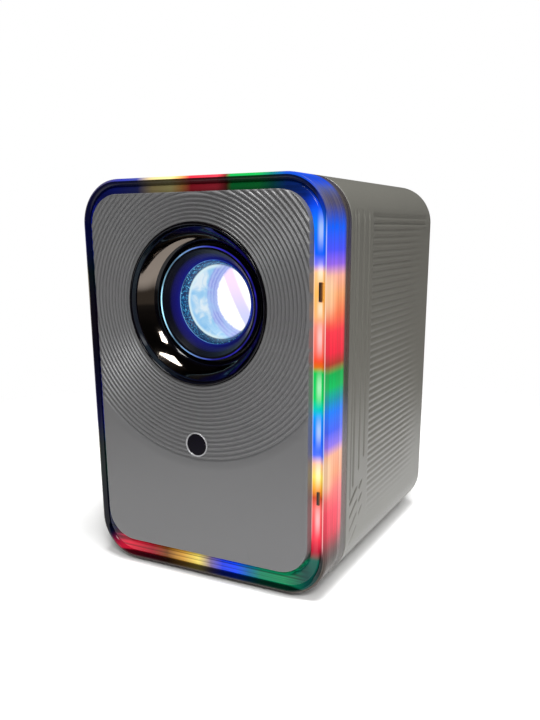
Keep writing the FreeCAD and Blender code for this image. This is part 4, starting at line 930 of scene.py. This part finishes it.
guide = skin("guide_bead", ring_steps, guide_stations(), OPAL_LIT)
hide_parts("light_guide")
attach(guide, "housing")

# %% [markdown]
# Two catches hold the guide to the frame. Their slots show as short dark windows
# in the lit strip on the right.

# %% Catches


def catch_slot(name, x_low, x_high, z_low, z_high, front):
    """A small dark window with rounded corners and a sunk middle."""

    def loop(shrink, back):
        wide, tall = (x_high - x_low) / 2 - shrink, (z_high - z_low) / 2 - shrink
        middle = ((x_low + x_high) / 2, (z_low + z_high) / 2)
        points = []
        for step in outline_steps(2, 2, 3):
            (x, z), _ = outline_point(wide, tall, 0.4, step)
            points.append((middle[0] + x, front + back, middle[1] + z))
        return points

    loops = [loop(0.0, 0.5), loop(0.0, 0.1), loop(0.12, 0.0), loop(0.4, 0.35)]
    count = len(loops[0])
    points = [point for points_round in loops for point in points_round]
    faces = grid_faces(len(loops), count, closed=False)
    faces.append(tuple(range(len(points) - count, len(points))))
    piece = make_piece(name, points, faces, CATCH_SHADE, smooth=False)
    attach(piece, "housing")


def catch_shade():
    """Dark plastic that the lamp behind warms to amber towards its outer side."""
    new_material("moulded ABS, lamp warmed")
    across = between(place_in_mm()[0], 72.2, 75.6)
    shade = ramp(across, [(0.0, "#160a04"), (0.45, "#4a2808"), (1.0, "#c8862c")])
    return surfaced({"Base Color": shade, "Roughness": 0.5, "IOR": 1.53, "Emission Color": shade,
                     "Emission Strength": 0.6})


CATCH_SHADE = catch_shade()
catch_slot("catch_upper", 72.3, 75.3, 168.2, 178.2, FRONT_Y + 4.3)
catch_slot("catch_lower", 72.3, 74.1, 59.0, 66.6, FRONT_Y + 4.5)

# %% [markdown]
# ## The lens funnel
#
# The funnel is a turned shape, so its section is drawn once and spun round the
# lens axis. A short steep wall behind the rim leads into a hollow cone, which
# bends the reflection of the table into a crescent. Only the cone is plated;
# the rim, the steep wall and the throat are bare black.

# %% Turned pieces
AROUND = 160


def turned(name, section, material, centre=(0.0, LENS_Z), count=AROUND, closed=True):
    """Spins (radius, distance back) points round an axis that runs from front to back."""
    points = []
    for radius, back in section:
        for i in range(count):
            angle = 2 * math.pi * i / count
            points.append((centre[0] + radius * math.cos(angle), FRONT_Y + back,
                           centre[1] + radius * math.sin(angle)))
    faces = [(a, d, c, b) for a, b, c, d in grid_faces(len(section), count, closed)]
    return make_piece(name, points, faces, material)


funnel_section = [(44.2, 18.0), (44.2, 0.9), (44.1, 0.45), (43.85, 0.15), (43.5, 0.02), (43.2, 0.1),
                  (42.98, 0.4), (42.8, 1.4), (42.6, 2.6), (42.4, 3.6)]
BOWL_START, BOWL_STEPS = len(funnel_section), 20
for i in range(BOWL_STEPS + 1):
    share = i / BOWL_STEPS
    funnel_section.append((42.25 - 6.45 * share, 4.3 + 8.5 * share + 0.9 * math.sin(math.pi * share)))
bowl_rows = range(BOWL_START, len(funnel_section) - 1)
funnel_section += [(35.5, 13.1), (35.0, 13.6), (34.4, 14.3), (33.8, 15.2), (33.4, 16.2), (33.4, 18.0)]
funnel = turned("funnel_polished", funnel_section, BLACK_CHROME)
second_finish(funnel, BARE_BLACK, AROUND, set(range(len(funnel_section))) - set(bowl_rows))
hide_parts("lens_bezel")
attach(funnel, "housing")

# %% [markdown]
# ## The lens and its painted light
#
# The lens glass carries a painted reflection, given as glow: brightest in a
# slanting patch on the right, pale blue over the rest, with painted glints of
# speckled teal on the ground edge of the glass. The barrel round it is black with
# a painted deep blue glow, and its turned edges carry painted highlights as thin rings.

# %% Lens and barrel
GLASS_R = 21.4


def lens_place():
    """A point's place across the lens over the glass radius, and its distance from the middle."""
    scale = 1.0 / (GLASS_R * MM)
    centred = own_space((scale, scale, scale), (0, 0, -LENS_Z / GLASS_R))
    x, _, z = add("SeparateXYZ", {0: centred})
    return centred, x, z, distance(x, z, 0.0, 0.0)


def distance(x, z, centre_x, centre_z):
    dx = maths("SUBTRACT", x, centre_x)
    dz = maths("SUBTRACT", z, centre_z)
    return maths("SQRT", maths("ADD", product(dx, dx), product(dz, dz)))


def glass_with_painted_reflection():
    """Coated glass with a painted reflection given as glow: a white patch inside an arc, with a
    slanting violet band across it, pale blue haze over the rest and a painted highlight on the left rim."""
    new_material("coated glass, painted reflection")
    centred, x, z, radius = lens_place()
    wisps = add("TexNoise", {"Vector": centred, "Scale": 2.6, "Detail": 4.0, "Distortion": 0.6})["Fac"]
    fine = add("TexNoise", {"Vector": centred, "Scale": 14.0, "Detail": 3.0})["Fac"]
    wobble = product(maths("SUBTRACT", fine, 0.5), 0.07)
    arc = maths("ADD", distance(x, z, 0.97, 0.17), wobble)
    haze = ramp(wisps, [(0.30, "#86c4f4"), (0.50, "#a9d9fb"), (0.68, "#e8f7ff")], "LINEAR")
    lines = add("TexWave", {"Vector": add("CombineXYZ", {0: arc})[0], "Scale": 3.2,
                            "Distortion": 1.2})["Fac"]
    arc_band = mix_colours(lines, "#9aa6ee", "#b4c4fa")
    arc_band = mix_colours(between(wisps, 0.35, 0.7), arc_band, "#a9cdfb")
    slant = maths("ADD", maths("ADD", product(x, 0.905), product(z, 0.425)), product(wobble, 0.4))
    violet = mix_colours(between(z, -0.5, 0.6), "#a9aef4", "#dcc0f6")
    in_band = stretch_of(slant, (0.42, 0.50), (0.72, 0.84))
    white = mix_colours(product(in_band, 0.85), "#ffffff", violet)
    inside = between(arc, 0.90, 1.02, 1.0, 0.0)
    outside = between(arc, 1.24, 1.34)
    body = mix_colours(outside, mix_colours(inside, arc_band, white), haze)
    # Painted highlight: a pale band along the left of the glass's rim.
    rim_highlight = product(between(radius, 0.86, 0.97), between(x, -0.2, 0.3, 1.0, 0.0))
    power = add("MapRange", {0: inside, 3: 0.92, 4: 1.35})[0]
    return surfaced({
        "Base Color": "#0a1830", "Roughness": 0.04, "IOR": 1.52, "Coat Weight": 0.6,
        "Coat Roughness": 0.01, "Emission Color": mix_colours(rim_highlight, body, "#e4fbff"),
        "Emission Strength": product(power, between(radius, 0.965, 1.0, 1.0, 0.5))})


def barrel_painted_glow():
    """Black anodised barrel with a painted deep blue glow on its inner steps, stronger on the left."""
    new_material("anodised aluminium, painted blue glow")
    centred, x, _, radius = lens_place()
    steps = [(0.0, "#141e80"), (0.2, "#130f6a"), (0.56, "#0f0b50"), (0.72, "#03020f"), (1.0, "#020208")]
    # Painted glow: navy blue light given as emission, fading outwards and weaker towards the right.
    glow = ramp(between(radius, 1.10, 1.42), steps, "LINEAR")
    turning = add("TexWave", {"Vector": centred, "Scale": 6.0}, bands_direction="Y")["Fac"]
    return surfaced({
        "Base Color": "#030409", "Roughness": 0.4, "Specular IOR Level": 0.15,
        "Normal": relief(turning, 0.2, 0.2),
        "Emission Color": glow, "Emission Strength": between(x, -1.3, 1.3, 0.95, 0.35)})


def speckled_rim():
    """The ground edge of the glass in its holder: dark blue, with painted glints as glowing teal specks,
    brighter towards the upper left and darker towards the lower right.
    """
    new_material("ground glass edge, painted glints")
    centred, x, z, _ = lens_place()
    speck = add("TexNoise", {"Vector": centred, "Scale": 26.0, "Detail": 2.0})["Fac"]
    teals = [(0.42, "#021c4c"), (0.55, "#06407c"), (0.63, "#1c8cc0"), (0.72, "#8ce4ff")]
    # Painted light: the specks' glow is stronger towards the upper left.
    painted_light_up_left = maths("SUBTRACT", z, x)
    return surfaced({
        "Base Color": "#04101c", "Roughness": 0.35, "Emission Color": ramp(speck, teals, "LINEAR"),
        "Emission Strength": between(painted_light_up_left, -1.0, 1.2, 0.55, 0.95)})


def edge_painted_highlight(name, left, right, strength):
    """A turned edge with a painted highlight: a thin glowing ring, brightest on the left."""
    new_material(name)
    _, x, _, _ = lens_place()
    # Painted highlight: the edge's glow, given as emission, strongest on the left.
    uneven = between(noise(60.0, detail=3.0), 0.38, 0.62, 0.35, 1.0)
    return surfaced({
        "Base Color": "#10142a", "Metallic": 0.8, "Roughness": 0.15,
        "Emission Color": ramp(between(x, -1.5, 0.4), [(0.0, left), (1.0, right)], "LINEAR"),
        "Emission Strength": product(between(x, -1.5, -1.2, 1.6, 0.6), uneven, strength)})


dress("lens_barrel", barrel_painted_glow())
holder = turned("glass_holder", [(23.7, 27.0), (23.7, 22.3), (23.4, 22.1), (23.0, 22.5), (22.2, 24.4),
                                 (21.5, 26.2), (21.5, 27.0)], speckled_rim())
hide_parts("lens_retainer")
DOME_FRONT, DOME_R, TIP = 24.2, 90.0, 0.02
dome = []
for i in range(25):
    r = GLASS_R * i / 24
    dome.append((max(r, TIP), DOME_FRONT + DOME_R - math.sqrt(DOME_R ** 2 - r * r)))
lens_face = turned("lens_glowing", [(TIP, 36.5)] + dome + [(GLASS_R, 32.8), (20.0, 33.4)],
                   glass_with_painted_reflection(), count=128)
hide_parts("front_lens")
outer_edge = turned("barrel_edge", [(31.75, 14.7), (31.75, 13.7), (31.5, 13.4), (31.15, 13.4),
                                    (31.0, 13.8)],
                    edge_painted_highlight("turned edge, painted highlight", "#a8e4ff", "#3c34d8", 1.2), closed=False)
inner_edge = turned("glass_edge", [(24.1, 22.7), (24.05, 22.2), (23.85, 22.0), (23.6, 22.05)],
                    edge_painted_highlight("inner edge, painted highlight", "#8cd4ff", "#2438a8", 1.5), closed=False)
for piece, slot_name in ((holder, "anodised_aluminium"), (lens_face, "optical_glass"),
                         (outer_edge, "anodised_aluminium"), (inner_edge, "anodised_aluminium")):
    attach(piece, "barrel")

# %% [markdown]
# ## The infrared window
#
# A dark disc below the lens lets the remote control's signal in. It sits in a
# thin raised rim in the panel's own grey.

# %% The infrared window
rim_section = [(7.3, 3.0), (7.3, 0.4), (7.25, 0.2), (7.1, 0.05), (6.9, 0.0), (6.65, 0.08), (6.45, 0.3),
               (6.35, 0.7), (6.35, 3.0)]
rim = turned("window_rim", rim_section, GREY_RIM, centre=WINDOW, count=96)
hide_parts("ir_trim")
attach(rim, "housing")
dress("ir_window", SMOKED_WINDOW)

# %% [markdown]
# ## The other solid pieces
#
# The inner pieces keep their solid shapes. A narrow bevel softens the edges of
# the moulded ones, and each gets the finish of what it is made of.

# %% Finishes of the remaining nodes
FINISHES = {
    WARM_GREY: ["rear_cover", "tray_front", "eject_button"],
    MID_GREY: ["button_power", "button_menu", "button_select", "button_volume_down", "button_volume_up"],
    PLAIN_BLACK: ["seam_ring", "front_frame", "lens_housing", "engine_housing", "av_jack", "dc_inlet",
                  "switch_housing", "turntable", "laser_sled"],
    PIANO_BLACK: ["control_pad", "power_rocker"],
    NYLON_BLACK: ["fan_frame", "fan_rotor"],
    TRAY_BLACK: ["disc_tray"],
    SOFT_RUBBER: ["rubber_feet"],
    TURNED_BRASS: ["tripod_insert", "board_spacers"],
    BLACK_STEEL: ["rear_screws", "speaker_baskets"],
    GREEN_BOARD: ["ir_receiver", "control_board", "main_board", "power_board"],
    STRIP_BOARD: ["led_strip"],
    ZINC_STEEL: ["focus_motor", "drive_chassis", "spindle_motor", "guide_rods", "lead_screw", "sled_motor"],
    RAW_ALUMINIUM: ["lamp_board", "heat_sink"],
    NICKEL: ["hdmi_socket", "usb_sockets"],
    ACETAL_WHITE: ["focus_gear"],
    ACETAL_GREY: ["focus_pinion"],
    PAPER_CONE: ["speaker_cones"],
    OPTICAL_GLASS: ["rear_lens", "lcd_panel", "condenser_lens", "pickup_lens"],
    CLEAR_ACRYLIC: ["fresnel_lens"],
}
for finish, names in FINISHES.items():
    for name in names:
        dress(name, finish)
SOFT_EDGES = ["rear_cover", "tray_front", "eject_button", "control_pad", "power_rocker", "disc_tray",
              "rubber_feet", "turntable", "laser_sled"] + FINISHES[MID_GREY]
for name in SOFT_EDGES:
    bevel = NODES[name].modifiers.new("soft edges", "BEVEL")
    bevel.width = 0.25 * MM
    bevel.segments = 2
    bevel.limit_method = "ANGLE"
    bevel.angle_limit = math.radians(40)
    bevel.use_clamp_overlap = True
print(sum(len(v) for v in FINISHES.values()), "nodes dressed")

# %% [markdown]
# ## The floor
#
# The object stands on a matt white board. The board fades out with the distance
# from its middle, so that it melts into the white background.

# %% Floor
FLOOR_HALF = 1.5
FADE = (0.26, 0.56)
floor_mesh = bpy.data.meshes.new("floor")
floor_mesh.from_pydata([(-FLOOR_HALF, -FLOOR_HALF, 0), (FLOOR_HALF, -FLOOR_HALF, 0),
                        (FLOOR_HALF, FLOOR_HALF, 0), (-FLOOR_HALF, FLOOR_HALF, 0)], [], [(0, 1, 2, 3)])
new_material("matt white board")
from_middle = add("VectorMath", {0: own_space()}, operation="LENGTH")["Value"]
floor_material = surfaced({
    "Base Color": ramp(noise(30.0), [(0.0, "#fafafa"), (1.0, "#ffffff")]), "Roughness": 0.9,
    "Specular IOR Level": 0.1, "Alpha": between(from_middle, *FADE, 1.0, 0.0)})
floor_mesh.materials.append(floor_material)
floor = new_object("floor", floor_mesh)
print("floor fades out from", FADE[0], "to", FADE[1], "m")

# %% [markdown]
# ## Light
#
# Soft panels of light stand above, to the right and behind the camera. The room
# itself gives an even pale light, shows white to the camera, and is dark to
# anything glossy, so that the black pieces stay black.

# %% Light
BODY_MIDDLE = Vector((0, 0, CENTRE_Z * MM))


def soft_panel(name, place, size, power):
    """A panel of soft light that faces the middle of the object; its place is in metres."""
    data = bpy.data.lights.new(name, "AREA")
    data.shape = "RECTANGLE"
    data.size, data.size_y = size
    data.energy = power
    lamp = new_object(name, data)
    lamp.location = place
    lamp.rotation_euler = (BODY_MIDDLE - lamp.location).to_track_quat("-Z", "Y").to_euler()
    print(name, power, "W")


world = bpy.data.worlds.new("white studio")
world.use_nodes = True
world.node_tree.nodes.clear()
bench["tree"] = world.node_tree
ray = add("LightPath")
height = add("SeparateXYZ", {0: add("TexCoord")["Generated"]})[2]
room = ramp(between(height, -1.0, 1.0),
            [(0.0, "#8c857e"), (0.44, "#8c857e"), (0.50, "#4c4a4a"), (0.60, "#3a3738"), (0.80, "#242224"),
             (1.0, "#1c1a1c")])
lit = add("Background", {"Color": "#f4f3f1", "Strength": 0.38})[0]
mirrored = add("Background", {"Color": room, "Strength": 0.8})[0]
shown = add("Background", {"Color": "#ffffff", "Strength": 1.0})[0]
unseen = add("MixShader", {0: ray["Is Glossy Ray"], 1: lit, 2: mirrored})[0]
add("OutputWorld", {"Surface": add("MixShader", {0: ray["Is Camera Ray"], 1: unseen, 2: shown})[0]})
bpy.context.scene.world = world
soft_panel("top panel", (0.25, -0.25, 1.30), (0.50, 0.42), 20)
soft_panel("upper right window", (0.62, -0.95, 0.95), (0.30, 0.30), 9)
soft_panel("right panel", (1.20, 0.35, 0.80), (0.5, 0.7), 3)
bpy.context.scene.view_settings.view_transform = "Standard"

# %% [markdown]
# ## Camera
#
# The camera stands to the right of the front and a little above the middle. It is
# tilted down, and a vertical shift of the picture brings the object back to the
# middle of the frame, so that its upright edges lean less.

# %% Camera
FOCAL_PX = 742.04
PICTURE_LONG = 720
SENSOR_MM = 36.0
camera_data = bpy.data.cameras.new("camera")
camera_data.sensor_width = SENSOR_MM
camera_data.lens = FOCAL_PX / PICTURE_LONG * SENSOR_MM
camera_data.shift_x = 0.00197
camera_data.shift_y = 0.09765
camera_data.clip_start, camera_data.clip_end = 0.02, 30.0
camera = new_object("camera", camera_data)
right = Vector((0.88531, 0.46495, -0.00619))
forward = Vector((-0.45046, 0.85426, -0.25948)).normalized()
up = right.cross(forward).normalized()
right = forward.cross(up).normalized()
turn = Matrix((right, up, -forward)).transposed()
camera.matrix_world = Matrix.Translation((0.22628, -0.43666, 0.20323)) @ turn.to_4x4()
bpy.context.scene.camera = camera
print("camera at", [round(c, 3) for c in camera.location])
